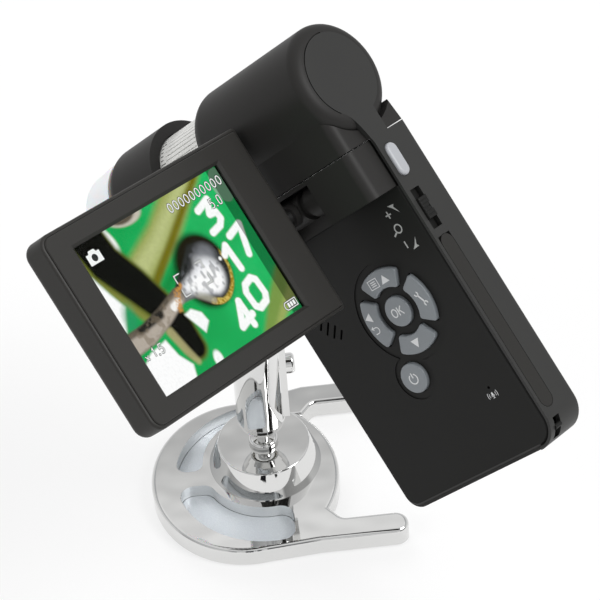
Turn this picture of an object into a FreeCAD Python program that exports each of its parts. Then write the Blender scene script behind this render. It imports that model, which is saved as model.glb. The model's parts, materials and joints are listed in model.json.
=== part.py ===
"""Hand-held digital microscope with a swing-out screen, held over its metal table stand.

Lengths are millimetres. The world has +Z up, its origin on the table under the stand's ball,
and +X along the two prongs of the stand's base. The microscope is built in its own frame, where
+X runs along the barrel towards the lens, +Y is the keypad side and +Z points up the handle,
with its origin on the barrel's axis at the rear face, and is then tilted onto the stand.
"""
import FreeCAD, Part
import math
import os

os.makedirs("parts", exist_ok=True)

Vector = FreeCAD.Vector
X_AXIS = Vector(1, 0, 0)
Y_AXIS = Vector(0, 1, 0)
Z_AXIS = Vector(0, 0, 1)

# How the microscope leans on its stand, and where its origin is over the table
LEAN_YAW = 153.75
LEAN_DIP = 46.25
LEAN_ROLL = 21.7
SCOPE_ORIGIN = Vector(30.7, 1.5, 165.4)

# Fits
TOUCH_GAP = 0.15
RUN_GAP = 0.07
SEAM = 0.3
SEAM_DEPTH = 0.6

# Barrel
BARREL_RADIUS = 16.4
BARREL_WALL = 1.9
BARREL_LENGTH = 50.0
REAR_ROUND = 3.7
FRONT_ROUND = 5.0
REAR_DISC_RADIUS = 12.7
REAR_PLATE_THICK = 1.6
NECK_FRONT_Y = 3.3
NECK_BACK_Y = -4.2
FAIRING_BACK_Y = -12.0

# Handle
HANDLE_DEPTH = 65.0
HANDLE_TOP = -19.5
HANDLE_BOTTOM = -118.0
HANDLE_BACK_Y = -12.3
COVER_BACK_Y = 1.8
COVER_FRONT_Y = 3.3
COVER_INSET = 1.15
HANDLE_WALL = 1.8
CORNER_REAR = 8.0
CORNER_FRONT = 5.0

# Hinge block for the screen
BLOCK_TOP_Y = 13.7
BLOCK_REAR_X = 1.65
BLOCK_FRONT_X = 63.6
BLOCK_BOTTOM = -34.3
BLOCK_ROUND = 3.0
WINDOW_X = (20.8, 44.2)
WINDOW_TOP = -21.0
FOLD_Y = 8.7
FOLD_Z = -26.0
KNUCKLE_RADIUS = 4.6
AXLE_RADIUS = 1.9

# Screen
SCREEN_X = 27.9
SCREEN_THICK = 9.2
SCREEN_NEAR_Y = 18.3
SCREEN_LONG = 83.9
SCREEN_HIGH = 59.2
GLASS_NEAR_MARGIN = 13.2
GLASS_LONG = 61.0
GLASS_HIGH = 45.7
BEZEL_INSET = 0.9
BEZEL_THICK = 1.3
SWIVEL_RADIUS = 2.4

# Lens end
FOCUS_RADIUS = 12.6
FOCUS_X = (50.4, 72.6)
RIB_COUNT = 56
COLLAR_X = (69.0, 92.0)
COLLAR_ROUND = 4.0
COLLAR_POCKET = 4.2
TIP_X = (92.0, 108.2)
TIP_RADIUS = 15.4
TIP_END_RADIUS = 14.3
TIP_WALL = 2.2

# Keypad
DIAL_X = 26.0
DIAL_Z = -64.7
OK_RADIUS = 4.6
SECTOR_INNER = 7.5
SECTOR_OUTER = 13.3
SECTOR_HALF_ANGLE = 35.5
POWER_X = 34.6
POWER_Z = -83.4
POWER_RADIUS = 4.6
KEY_PROUD = 0.9
KEY_DEPTH = 1.4

# Controls on the rear strip
SNAP_Y = -0.7
SNAP_Z = -28.1
SNAP_LENGTH = 10.2
SNAP_WIDTH = 4.2
ZOOM_Y = -0.45
ZOOM_Z = (-50.0, -37.4)
ZOOM_WIDTH = 4.1
FLAP_Z = (-108.4, -52.5)
FLAP_Y = (-3.3, 2.0)
STRAP_Z = (-117.0, -111.5)
STRAP_Y = (-1.8, 1.2)

# Stand
BASE_THICK = 7.2
SOLE_THICK = 0.8
SOLE_INSET = 1.6
OVAL_CENTRE = (-6.8, -0.6)
OVAL_HALF = (29.4, 31.2)
PRONG_OUTSIDE = (-30.2, 35.2)
PRONG_WIDTH = 8.2
PRONG_END = (41.5, 42.6)
PRONG_START = 14.0
WEB_X = (17.9, 13.4)
WEB_SIZE = (3.6, 4.5)
WEB_ROUND = 3.0
RECESS_DEPTH = 5.2
RECESS_INNER = 19.7
RECESS_OUTER = 28.7
RECESS_SIDE = 3.1
RECESS_END = 6.9
LINER_SHEET = 0.6
CONE_Y = 4.8
CONE_LOW_RADIUS = 17.5
CONE_TOP_RADIUS = 14.3
CONE_HEIGHT = 9.0
CONE_TOP = BASE_THICK + CONE_HEIGHT
BALL_RADIUS = 3.6
BALL_Z = CONE_TOP + 8.4
NECK_RADIUS = 1.8
NECK_COLLAR_RADIUS = 4.6
NECK_COLLAR_HEIGHT = 2.2
LINER_THICK = 0.5
SOCKET_LIP = 1.6
STEM_RADIUS = 7.6
STEM_REACH = 47.0
ARM_X = (6.5, 8.6)
ARM_WIDTH = 9.0
ARM_TAIL_Z = 36.2
ARM_TOP_Z = 81.7
PIVOT_Z = 54.7
PIVOT_RADIUS = 1.6
KNOB_RADIUS = 3.2
STEM_LEAN = math.degrees(math.atan2(CONE_Y, PIVOT_Z - BALL_Z))

# Clamp that grips the handle's front edge, in the microscope's frame
CLAMP_Z = (-50.0, -34.5)
JAW_REACH_X = 55.0
CLAMP_WEB_X = (65.4, 68.8)
JAW_THICK = 2.4
PAD_THICK = 1.0
KNOB_WIDE = 4.6
FRONT_PAD_Y = (COVER_FRONT_Y + 0.1, COVER_FRONT_Y + 0.1 + PAD_THICK)
BACK_PAD_Y = (HANDLE_BACK_Y - 0.05 - PAD_THICK, HANDLE_BACK_Y - 0.05)
CLAMP_SCREW_X = 71.8
CLAMP_SCREW_Z = -38.1
BOSS_RADIUS = 5.4
BOSS_LENGTH = 9.5
CLAMP_SCREW_RADIUS = 1.5


def box(x, y, z):
    """A block between pairs of low and high values."""
    return Part.makeBox(x[1] - x[0], y[1] - y[0], z[1] - z[0], Vector(x[0], y[0], z[0]))


def rod(radius, start, axis, length):
    """A solid cylinder from a start point along an axis."""
    return Part.makeCylinder(radius, length, Vector(*start), axis)


def rod_x(radius, x, y=0.0, z=0.0):
    """A cylinder along X between two X values."""
    return rod(radius, (x[0], y, z), X_AXIS, x[1] - x[0])


def rod_y(radius, y, x=0.0, z=0.0):
    """A cylinder along Y between two Y values."""
    return rod(radius, (x, y[0], z), Y_AXIS, y[1] - y[0])


def rod_z(radius, z, x=0.0, y=0.0):
    """A cylinder along Z between two Z values."""
    return rod(radius, (x, y, z[0]), Z_AXIS, z[1] - z[0])


def ring_x(outer, inner, x):
    """A tube along X."""
    return rod_x(outer, x).cut(rod_x(inner, (x[0] - 1, x[1] + 1)))


def edges_where(shape, test):
    """The edges whose centre of mass passes a test."""
    return [edge for edge in shape.Edges if test(edge.CenterOfMass, edge)]


def round_off(shape, radius, test):
    """Fillets the edges that a test picks."""
    return shape.makeFillet(radius, edges_where(shape, test))


def bevel(shape, size, test):
    """Chamfers the edges that a test picks."""
    return shape.makeChamfer(size, edges_where(shape, test))


def runs_along(edge, axis):
    """True for a straight edge along an axis."""
    if edge.Curve.TypeId != "Part::GeomLine":
        return False
    return abs(edge.tangentAt(edge.FirstParameter).dot(axis)) > 0.999


def near(value, target, slack=0.02):
    """True when two lengths agree."""
    return abs(value - target) < slack


def stadium_prism(centre, length, width, along, through, depth):
    """A slot-shaped block: rounded ends along one axis, pushed along another."""
    side = through.cross(along)
    half = (length - width) / 2
    radius = width / 2
    a = centre + along * half + side * radius
    b = centre - along * half + side * radius
    c = centre - along * half - side * radius
    d = centre + along * half - side * radius
    low = centre - along * (half + radius)
    high = centre + along * (half + radius)
    edges = [
        Part.LineSegment(a, b).toShape(),
        Part.Arc(b, low, c).toShape(),
        Part.LineSegment(c, d).toShape(),
        Part.Arc(d, high, a).toShape(),
    ]
    return Part.Face(Part.Wire(edges)).extrude(through * depth)


def polygon_prism(points, push):
    """A straight-sided outline pushed along a vector."""
    return Part.Face(Part.makePolygon(points + points[:1])).extrude(push)


def handle_prism(y, inset):
    """The handle's side outline, drawn in by an inset, between two Y values."""
    x = (inset, HANDLE_DEPTH - inset)
    block = box(x, y, (HANDLE_BOTTOM + inset, HANDLE_TOP))
    block = round_off(block, CORNER_REAR - inset,
                      lambda c, e: runs_along(e, Y_AXIS) and near(c.x, x[0]) and c.z < -100)
    return round_off(block, CORNER_FRONT - inset,
                     lambda c, e: runs_along(e, Y_AXIS) and near(c.x, x[1]) and c.z < -100)


def on_stand(shape):
    """The microscope's frame set on the stand."""
    placed = shape.copy()
    placed.Placement = FreeCAD.Placement(
        SCOPE_ORIGIN, FreeCAD.Rotation(LEAN_YAW, LEAN_DIP, LEAN_ROLL))
    return placed


def off_stand(shape):
    """A stand shape seen from the microscope's frame."""
    placed = shape.copy()
    placed.Placement = FreeCAD.Placement(
        SCOPE_ORIGIN, FreeCAD.Rotation(LEAN_YAW, LEAN_DIP, LEAN_ROLL)).inverse()
    return placed


def rear_plate_blank(grow=0.0):
    """Outline of the rear plate: the round rear face, an S-shaped neck and the handle's strip."""
    disc = rod_x(REAR_DISC_RADIUS + grow, (0, REAR_PLATE_THICK))
    front = COVER_FRONT_Y + grow
    curve = Part.BSplineCurve()
    circle_y, circle_z = 9.3, -8.65
    curve.interpolate([
        Vector(0, circle_y + grow, circle_z),
        Vector(0, 7.0 + grow, -10.7),
        Vector(0, 5.2 + grow, -14.0),
        Vector(0, front, HANDLE_TOP - 1.5),
    ])
    ends = [Vector(0, front, HANDLE_TOP - 1.5), Vector(0, front, HANDLE_TOP - 4),
            Vector(0, NECK_BACK_Y, HANDLE_TOP - 4), Vector(0, NECK_BACK_Y, 0),
            Vector(0, circle_y + grow, 0), Vector(0, circle_y + grow, circle_z)]
    sides = [Part.LineSegment(ends[i], ends[i + 1]).toShape() for i in range(len(ends) - 1)]
    neck = Part.Face(Part.Wire([curve.toShape()] + sides)).extrude(X_AXIS * REAR_PLATE_THICK)
    return disc.fuse(neck)


def make_barrel():
    """The barrel's tube, with rounded ends and the neck that joins it to the handle."""
    tube = rod_x(BARREL_RADIUS, (0, BARREL_LENGTH))
    tube = round_off(tube, REAR_ROUND, lambda c, e: near(c.x, 0) and e.Length > 50)
    tube = round_off(tube, FRONT_ROUND, lambda c, e: near(c.x, BARREL_LENGTH) and e.Length > 50)
    neck = box((0, BARREL_LENGTH), (NECK_BACK_Y, NECK_FRONT_Y), (HANDLE_TOP + 0.1, -8))
    body = tube.fuse(neck)
    bore = rod_x(BARREL_RADIUS - BARREL_WALL, (REAR_PLATE_THICK + 1.2, BARREL_LENGTH - 2.2))
    ledge = rod_x(REAR_DISC_RADIUS - 1.2, (-1, REAR_PLATE_THICK + 2))
    mouth = rod_x(FOCUS_RADIUS + 0.4, (BARREL_LENGTH - 3, BARREL_LENGTH + 1))
    cable_way = box((8, 42), (-2.4, 1.6), (HANDLE_TOP - 1, -10))
    body = body.cut(bore).cut(ledge).cut(mouth).cut(cable_way)
    body = body.cut(rear_plate_blank())
    groove = rod_x(REAR_DISC_RADIUS + SEAM, (-1, SEAM_DEPTH)).cut(
        rod_x(REAR_DISC_RADIUS - 1, (-2, 2)))
    groove = groove.common(box((-2, 2), (-1.5, 20), (-9.5, 20)))
    return body.cut(groove).removeSplitter()


def make_rear_plate():
    """Rear face and control strip, one piece down to the bottom corner."""
    strip = handle_prism((HANDLE_BACK_Y, COVER_FRONT_Y), 0.0)
    strip = strip.cut(handle_prism((HANDLE_BACK_Y - 1, COVER_FRONT_Y + 1), REAR_PLATE_THICK))
    strip = strip.common(box((-1, CORNER_REAR + 0.2), (-20, 20), (-130, HANDLE_TOP)))
    strip = round_off(strip, 1.4, lambda c, e: near(c.y, HANDLE_BACK_Y) and near(c.x, 0)
                      and runs_along(e, Z_AXIS))
    cover_room = handle_prism((COVER_BACK_Y, COVER_FRONT_Y + 1), COVER_INSET - 0.25)
    plate = rear_plate_blank().fuse(strip)
    plate = plate.cut(cover_room)
    snap_hole = stadium_prism(Vector(-1, SNAP_Y, SNAP_Z), SNAP_LENGTH + 0.3, SNAP_WIDTH + 0.3,
                              Z_AXIS, X_AXIS, 4)
    zoom_hole = box((-1, 4), (ZOOM_Y - ZOOM_WIDTH / 2, ZOOM_Y + ZOOM_WIDTH / 2), ZOOM_Z)
    port_hole = box((-1, 4), (FLAP_Y[0] + 0.9, FLAP_Y[1] - 1.1), (FLAP_Z[0] + 4, FLAP_Z[1] - 2))
    flap_seat = flap_blank(0.15).fuse(box((-1, 1.0), (FLAP_Y[0], FLAP_Y[1] + 0.15),
                                          (FLAP_Z[0] + 3, FLAP_Z[1])))
    strap_hole = box((-1, 7), STRAP_Y, STRAP_Z)
    for hole in (snap_hole, zoom_hole, port_hole, flap_seat, strap_hole):
        plate = plate.cut(hole)
    return plate.removeSplitter()


def flap_blank(grow):
    """The port flap's outline, rounded at its lower end."""
    width = FLAP_Y[1] - FLAP_Y[0] + 2 * grow
    middle = (FLAP_Y[0] + FLAP_Y[1]) / 2
    length = FLAP_Z[1] - FLAP_Z[0] + 2 * grow
    centre = Vector(-0.01, middle, (FLAP_Z[0] + FLAP_Z[1]) / 2)
    return stadium_prism(centre, length, width, Z_AXIS, X_AXIS, 1.01)


def make_main_shell():
    """The handle's deep tray, open to the keypad side, with the battery bay in its back."""
    tray = handle_prism((HANDLE_BACK_Y, COVER_BACK_Y), 0.0)
    tray = round_off(tray, 1.4, lambda c, e: near(c.y, HANDLE_BACK_Y) and c.z < HANDLE_TOP - 1)
    hollow = handle_prism((HANDLE_BACK_Y + HANDLE_WALL + 1.4, COVER_BACK_Y + 1), HANDLE_WALL)
    hollow = hollow.common(box((0, 70), (-20, 20), (-130, HANDLE_TOP - HANDLE_WALL)))
    wire_hole = box((8, 42), (-2.4, 1.6), (HANDLE_TOP - 4, HANDLE_TOP + 1))
    rear_mouth = box((1, 4), (HANDLE_BACK_Y + HANDLE_WALL + 1.4, COVER_BACK_Y + 1),
                     (HANDLE_BOTTOM + 10, HANDLE_TOP - HANDLE_WALL))
    shell = tray.cut(hollow).cut(wire_hole).cut(rear_mouth)
    strip_room = box((-1, REAR_PLATE_THICK), (-20, 20), (-130, 0))
    strip_room = strip_room.fuse(handle_prism((-20, 20), 0.0).cut(
        handle_prism((-21, 21), REAR_PLATE_THICK)).common(
            box((-1, CORNER_REAR + 0.2), (-20, 20), (-130, HANDLE_TOP))))
    door = box((9.8, 55.2), (-20, HANDLE_BACK_Y + 1.5), (-130, -48))
    door_ledge = box((8.8, 56.2), (HANDLE_BACK_Y + 0.65, HANDLE_BACK_Y + 1.5), (-130, -47))
    bay = box((13, 52), (HANDLE_BACK_Y, -6.8), (-106, -52))
    strap_room = box((-1, 7), (STRAP_Y[0] - 0.2, COVER_BACK_Y + 1), (STRAP_Z[0], STRAP_Z[1] + 1))
    for room in (strip_room, door, door_ledge, bay, strap_room):
        shell = shell.cut(room)
    for x in (6.5, 58.5):
        for z in (-26.0, -112.0):
            post = rod_y(2.4, (HANDLE_BACK_Y + 1, COVER_BACK_Y - 0.1), x, z)
            shell = shell.fuse(post.common(handle_prism((-20, 20), HANDLE_WALL - 0.1)))
    for x, z in SCREW_PLACES:
        shell = shell.cut(rod_y(1.0, (-20, 10), x, z))
        shell = shell.cut(rod_y(2.0, (-20, HANDLE_BACK_Y + 1.2), x, z))
    return shell.cut(strip_room).removeSplitter()


SCREW_PLACES = [(58.5, -26.0), (58.5, -112.0), (6.5, -26.0)]


def make_case_screws():
    """Three countersunk screws in the handle's back."""
    screws = []
    for x, z in SCREW_PLACES:
        head = rod_y(1.9, (HANDLE_BACK_Y + 0.2, HANDLE_BACK_Y + 1.2), x, z)
        shank = rod_y(0.95, (HANDLE_BACK_Y + 1.1, 1.2), x, z)
        slot = box((x - 1.3, x + 1.3), (-20, HANDLE_BACK_Y + 0.6), (z - 0.2, z + 0.2))
        cross = box((x - 0.2, x + 0.2), (-20, HANDLE_BACK_Y + 0.6), (z - 1.3, z + 1.3))
        screws.append(head.fuse(shank).cut(slot).cut(cross))
    return Part.makeCompound(screws)


def sector(inner, outer, half_angle, turn, y, corner):
    """A rounded ring sector of the dial, in the X-Z plane, facing one of four ways."""
    def at(radius, angle):
        radians = math.radians(angle)
        return Vector(radius * math.cos(radians), y[0], radius * math.sin(radians))
    edges = [
        Part.Arc(at(inner, -half_angle - 4), at(inner, 0), at(inner, half_angle + 4)).toShape(),
        Part.LineSegment(at(inner, half_angle + 4), at(outer, half_angle)).toShape(),
        Part.Arc(at(outer, half_angle), at(outer, 0), at(outer, -half_angle)).toShape(),
        Part.LineSegment(at(outer, -half_angle), at(inner, -half_angle - 4)).toShape(),
    ]
    block = Part.Face(Part.Wire(edges)).extrude(Y_AXIS * (y[1] - y[0]))
    block = round_off(block, corner, lambda c, e: runs_along(e, Y_AXIS))
    block.rotate(Vector(0, 0, 0), Y_AXIS, -turn)
    block.translate(Vector(DIAL_X, 0, DIAL_Z))
    return block


KEY_TURNS = {"forward_key": 0, "up_key": 90, "menu_key": 180, "down_key": 270}


def key_blank(name, grow, y):
    """A key's outline, grown by a gap, between two Y values."""
    if name == "ok_key":
        return rod_y(OK_RADIUS + grow, y, DIAL_X, DIAL_Z)
    if name == "power_key":
        return rod_y(POWER_RADIUS + grow, y, POWER_X, POWER_Z)
    spread = math.degrees(grow / SECTOR_INNER)
    return sector(SECTOR_INNER - grow, SECTOR_OUTER + grow, SECTOR_HALF_ANGLE + spread,
                  KEY_TURNS[name], y, 1.0)


KEY_NAMES = ["ok_key", "power_key"] + list(KEY_TURNS)


def make_keypad_cover():
    """Lid over the handle with the dial recess, key holes, speaker slits and sound hole."""
    lid = handle_prism((COVER_BACK_Y, COVER_FRONT_Y), COVER_INSET)
    lid = lid.common(box((-1, 70), (-20, 20), (-130, BLOCK_BOTTOM - 0.15)))
    lid = bevel(lid, 0.6, lambda c, e: near(c.y, COVER_FRONT_Y) and c.z < BLOCK_BOTTOM - 1)
    recess = rod_y(15.6, (COVER_FRONT_Y - 0.3, COVER_FRONT_Y + 1), DIAL_X, DIAL_Z)
    recess = recess.fuse(rod_y(6.9, (COVER_FRONT_Y - 0.3, COVER_FRONT_Y + 1), POWER_X, POWER_Z))
    lid = lid.cut(recess)
    for name in KEY_NAMES:
        lid = lid.cut(key_blank(name, 0.2, (COVER_BACK_Y - 1, COVER_FRONT_Y + 1)))
    for step in range(4):
        middle = Vector(50.6 + 1.7 * step, COVER_BACK_Y - 1, -62.5 + 1.7 * step)
        slit = stadium_prism(middle, 4.6 if step in (1, 2) else 3.4, 0.7,
                             Vector(1, 0, -1).normalize(), Y_AXIS, 4)
        lid = lid.cut(slit)
    return lid.cut(rod_y(0.45, (0, 5), 12.6, -95.7)).removeSplitter()


def make_key(name):
    """A domed key with a flange behind the lid that stops it falling out."""
    top = key_blank(name, 0.0, (COVER_BACK_Y - 0.2, COVER_FRONT_Y + KEY_PROUD))
    top = round_off(top, 0.45, lambda c, e: near(c.y, COVER_FRONT_Y + KEY_PROUD))
    flange = key_blank(name, 0.5, (COVER_BACK_Y - KEY_DEPTH + 0.6, COVER_BACK_Y - 0.1))
    return top.fuse(flange).removeSplitter()


def block_profile(z):
    """The hinge block's section, rounded over its two ends, between two Z values."""
    points = [
        Vector(BLOCK_REAR_X, COVER_BACK_Y, z[0]), Vector(BLOCK_REAR_X + 0.3, BLOCK_TOP_Y, z[0]),
        Vector(BLOCK_FRONT_X - 0.3, BLOCK_TOP_Y, z[0]), Vector(BLOCK_FRONT_X, COVER_BACK_Y, z[0]),
    ]
    block = polygon_prism(points, Z_AXIS * (z[1] - z[0]))
    return round_off(block, BLOCK_ROUND,
                     lambda c, e: runs_along(e, Z_AXIS) and near(c.y, BLOCK_TOP_Y))


def make_hinge_block():
    """Raised block on the handle that carries the screen's hinge in its open window."""
    block = block_profile((BLOCK_BOTTOM, HANDLE_TOP - 0.2))
    block = block.cut(box((-1, BLOCK_REAR_X + 0.4), (-20, COVER_FRONT_Y), (-50, 0)))
    window = box(WINDOW_X, (COVER_FRONT_Y + 0.5, BLOCK_TOP_Y + 1), (BLOCK_BOTTOM - 1, WINDOW_TOP))
    axle_hole = rod_x(AXLE_RADIUS, (WINDOW_X[0] - 4, WINDOW_X[1] + 4), FOLD_Y, FOLD_Z)
    ways = [box((5, 17), (COVER_BACK_Y - 1, BLOCK_TOP_Y - 2), (BLOCK_BOTTOM + 2, HANDLE_TOP - 2)),
            box((49, 60), (COVER_BACK_Y - 1, BLOCK_TOP_Y - 2), (BLOCK_BOTTOM + 2, HANDLE_TOP - 2))]
    block = block.cut(window).cut(axle_hole)
    for way in ways:
        block = block.cut(way.cut(rod_x(4, (0, 70), FOLD_Y, FOLD_Z)))
    return block.removeSplitter()


def make_barrel_fairing():
    """Keypad-side fairing between the hinge block and the barrel."""
    fairing = block_profile((HANDLE_TOP + 0.1, -5)).common(
        box((0, BARREL_LENGTH - 1.0), (NECK_FRONT_Y + 0.01, 20), (-30, 0)))
    fairing = fairing.cut(rod_x(BARREL_RADIUS, (-1, 60)))
    hollow = box((6, 42), (NECK_FRONT_Y + 2, BLOCK_TOP_Y - 2), (HANDLE_TOP + 1.6, 0))
    hollow = hollow.cut(rod_x(BARREL_RADIUS + 1.4, (-1, 60)))
    return fairing.cut(hollow).removeSplitter()


def make_side_fairing():
    """Small fairing on the far side, parted from the barrel by a curved gap."""
    low = HANDLE_TOP + 0.25
    points = [Vector(0, NECK_BACK_Y, low), Vector(0, FAIRING_BACK_Y, low),
              Vector(0, FAIRING_BACK_Y + 1.0, -11.0), Vector(0, NECK_BACK_Y, -11.0)]
    fairing = polygon_prism(points, X_AXIS * (BARREL_LENGTH - 1.0))
    fairing = bevel(fairing, 0.7, lambda c, e: near(c.x, 0) and c.y < FAIRING_BACK_Y + 1.1)
    return fairing.cut(rod_x(BARREL_RADIUS + 0.35, (-1, 60)))


def make_snapshot_button():
    """Oval button on the rear strip."""
    cap = stadium_prism(Vector(-1.0, SNAP_Y, SNAP_Z), SNAP_LENGTH, SNAP_WIDTH, Z_AXIS, X_AXIS, 2.8)
    cap = round_off(cap, 0.8, lambda c, e: near(c.x, -1.0))
    flange = stadium_prism(Vector(REAR_PLATE_THICK + 0.1, SNAP_Y, SNAP_Z), SNAP_LENGTH + 1.2,
                           SNAP_WIDTH + 0.6, Z_AXIS, X_AXIS, 0.8)
    return cap.fuse(flange).removeSplitter()


def make_zoom_slider():
    """Ridged slider in its slot: a raised bridge with two side posts and a base behind."""
    middle = (ZOOM_Z[0] + ZOOM_Z[1]) / 2
    half = ZOOM_WIDTH / 2 - 0.15
    bridge = box((-0.9, 2.2), (ZOOM_Y - half, ZOOM_Y + half), (middle - 3.3, middle + 3.3))
    bridge = round_off(bridge, 0.4, lambda c, e: near(c.x, -0.9))
    for step in range(-2, 3):
        z = middle + step * 1.1
        bridge = bridge.cut(box((-1.0, -0.6), (ZOOM_Y - 3, ZOOM_Y + 3), (z - 0.2, z + 0.2)))
    notch = box((-1.0, 0.6), (ZOOM_Y - 3, ZOOM_Y - 0.9), (middle - 1.0, middle + 1.0))
    base = box((REAR_PLATE_THICK + 0.15, REAR_PLATE_THICK + 0.95),
               (ZOOM_Y - half - 0.3, ZOOM_Y + half + 0.3), (middle - 7.6, middle + 7.6))
    return bridge.cut(notch).fuse(base).removeSplitter()


def make_port_flap():
    """Soft flap over the sockets, thin enough to lie flush with the strip."""
    lip = flap_blank(0.0).common(box((0, 0.95), (-10, 10), (-130, 0)))
    plug = box((0.9, 1.6), (FLAP_Y[0] + 1.3, FLAP_Y[1] - 1.5), (-98, -62))
    return lip.fuse(plug).removeSplitter()


def socket_block(y, z, depth, mouth):
    """A metal-shelled socket facing the rear, with its mouth cut in."""
    shell = box((1.8, 1.8 + depth), y, z)
    shell = shell.cut(box((0, depth), (y[0] + mouth, y[1] - mouth), (z[0] + mouth, z[1] - mouth)))
    return shell


def make_focus_ring():
    """Focus ring whose rear part is cut with fine lengthwise grooves."""
    ring = ring_x(FOCUS_RADIUS, 10.65, FOCUS_X)
    length = COLLAR_X[0] - 2.6 - FOCUS_X[0]
    cutter = box((FOCUS_X[0] - 1, FOCUS_X[0] + length), (-0.15, 0.15),
                 (FOCUS_RADIUS - 0.45, FOCUS_RADIUS + 1))
    cutters = []
    for step in range(RIB_COUNT):
        groove = cutter.copy()
        groove.rotate(Vector(0, 0, 0), X_AXIS, step * 360 / RIB_COUNT)
        cutters.append(groove)
    return ring.cut(Part.makeCompound(cutters))


def make_front_tube():
    """Fixed inner tube from the barrel out to the collar; the focus ring turns on it."""
    return ring_x(10.55, 8.6, (40.0, 80.0)).fuse(ring_x(13.6, 8.6, (40.0, 43.0))).removeSplitter()


def make_collar():
    """Black collar in front of the focus ring, with its rear pocket and rounded front."""
    body = rod_x(BARREL_RADIUS, COLLAR_X)
    body = round_off(body, COLLAR_ROUND, lambda c, e: near(c.x, COLLAR_X[1]) and e.Length > 50)
    body = body.cut(rod_x(FOCUS_RADIUS + 0.3, (COLLAR_X[0] - 1, COLLAR_X[0] + COLLAR_POCKET)))
    body = body.cut(rod_x(10.55, (COLLAR_X[0], 80.0)))
    body = body.cut(rod_x(8.6, (79, COLLAR_X[1] + 1)))
    return body.cut(rod_x(12.0, (COLLAR_X[1] - 3, COLLAR_X[1] + 1))).removeSplitter()


def make_tip():
    """Frosted light cap over the lamps, open in the middle for the view."""
    length = TIP_X[1] - TIP_X[0]
    outer = Part.makeCone(TIP_RADIUS, TIP_END_RADIUS, length, Vector(TIP_X[0], 0, 0), X_AXIS)
    outer = round_off(outer, 5.0, lambda c, e: near(c.x, TIP_X[1]) and e.Length > 50)
    inner = Part.makeCone(TIP_RADIUS - TIP_WALL, TIP_END_RADIUS - TIP_WALL - 1.4, length - 1.8,
                          Vector(TIP_X[0], 0, 0), X_AXIS)
    spigot = ring_x(11.9, 10.7, (COLLAR_X[1] - 2.9, TIP_X[0] + 1.0))
    flange = ring_x(TIP_RADIUS - TIP_WALL + 0.3, 10.7, (TIP_X[0], TIP_X[0] + 1.0))
    window = rod_x(6.0, (TIP_X[0] + 2, TIP_X[1] + 1))
    return outer.cut(inner).cut(window).fuse(spigot).fuse(flange).removeSplitter()


def make_lamps():
    """Eight small lamps in a ring round the lens."""
    lamps = []
    for step in range(8):
        angle = math.radians(step * 45)
        y, z = 7.0 * math.cos(angle), 7.0 * math.sin(angle)
        lamp = rod_x(1.2, (87.6, 89.4), y, z).fuse(
            Part.makeSphere(1.2, Vector(89.4, y, z)))
        lamps.append(lamp.removeSplitter())
    return Part.makeCompound(lamps)


def make_lens_carrier():
    """Sliding lens holder inside the front tube."""
    return ring_x(8.45, 6.6, (58.0, 72.0)).fuse(ring_x(7.0, 5.0, (58.0, 60.0))).removeSplitter()


def make_lens():
    """Two-sided lens seated in the carrier."""
    front = Part.makeSphere(14.0, Vector(52.5, 0, 0))
    back = Part.makeSphere(14.0, Vector(73.5, 0, 0))
    return front.common(back).common(rod_x(6.6, (60.0, 68.0)))


def make_axle():
    """Steel axle across the block's window."""
    return rod_x(AXLE_RADIUS, (WINDOW_X[0] - 4, WINDOW_X[1] + 4), FOLD_Y, FOLD_Z)


def make_knuckle():
    """Fold knuckle that turns on the axle and carries the swivel shaft."""
    x = (WINDOW_X[0] + 0.4, WINDOW_X[1] - 0.4)
    middle = (x[0] + x[1]) / 2
    barrel = rod_x(KNUCKLE_RADIUS, x, FOLD_Y, FOLD_Z)
    waist = ring_x(20, 3.4, (middle - 6.5, middle - 4.0)).fuse(
        ring_x(20, 3.4, (middle + 4.0, middle + 6.5)))
    waist.translate(Vector(0, FOLD_Y, FOLD_Z))
    collar = rod_y(3.4, (FOLD_Y, FOLD_Y + KNUCKLE_RADIUS + 2.0), middle, FOLD_Z)
    body = barrel.cut(waist).fuse(collar)
    body = body.cut(rod_x(AXLE_RADIUS + RUN_GAP, (0, 70), FOLD_Y, FOLD_Z))
    return body.cut(rod_y(SWIVEL_RADIUS, (FOLD_Y + 3.2, 40), middle, FOLD_Z)).removeSplitter()


def make_swivel_shaft():
    """Hollow shaft from the knuckle into the screen, with a retaining flange inside."""
    middle = (WINDOW_X[0] + WINDOW_X[1]) / 2
    shaft = rod_y(SWIVEL_RADIUS, (FOLD_Y + 3.2, SCREEN_NEAR_Y + 6.0), middle, FOLD_Z)
    flange = rod_y(2.85, (SCREEN_NEAR_Y + 4.6, SCREEN_NEAR_Y + 6.0), middle, FOLD_Z)
    return shaft.fuse(flange).cut(rod_y(1.3, (0, 60), middle, FOLD_Z)).removeSplitter()


SCREEN_BACK_X = SCREEN_X + SCREEN_THICK
SCREEN_Y = (SCREEN_NEAR_Y, SCREEN_NEAR_Y + SCREEN_LONG)
SCREEN_Z = (FOLD_Z - SCREEN_HIGH / 2, FOLD_Z + SCREEN_HIGH / 2)
GLASS_Y = (SCREEN_NEAR_Y + GLASS_NEAR_MARGIN, SCREEN_NEAR_Y + GLASS_NEAR_MARGIN + GLASS_LONG)
GLASS_Z = (FOLD_Z - GLASS_HIGH / 2, FOLD_Z + GLASS_HIGH / 2)


def screen_slab(x, inset, far_corner, near_corner):
    """A slab of the screen's outline, drawn in by an inset."""
    slab = box(x, (SCREEN_Y[0] + inset, SCREEN_Y[1] - inset),
               (SCREEN_Z[0] + inset, SCREEN_Z[1] - inset))
    slab = round_off(slab, far_corner,
                     lambda c, e: runs_along(e, X_AXIS) and near(c.y, SCREEN_Y[1] - inset))
    return round_off(slab, near_corner,
                     lambda c, e: runs_along(e, X_AXIS) and near(c.y, SCREEN_Y[0] + inset))


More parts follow.
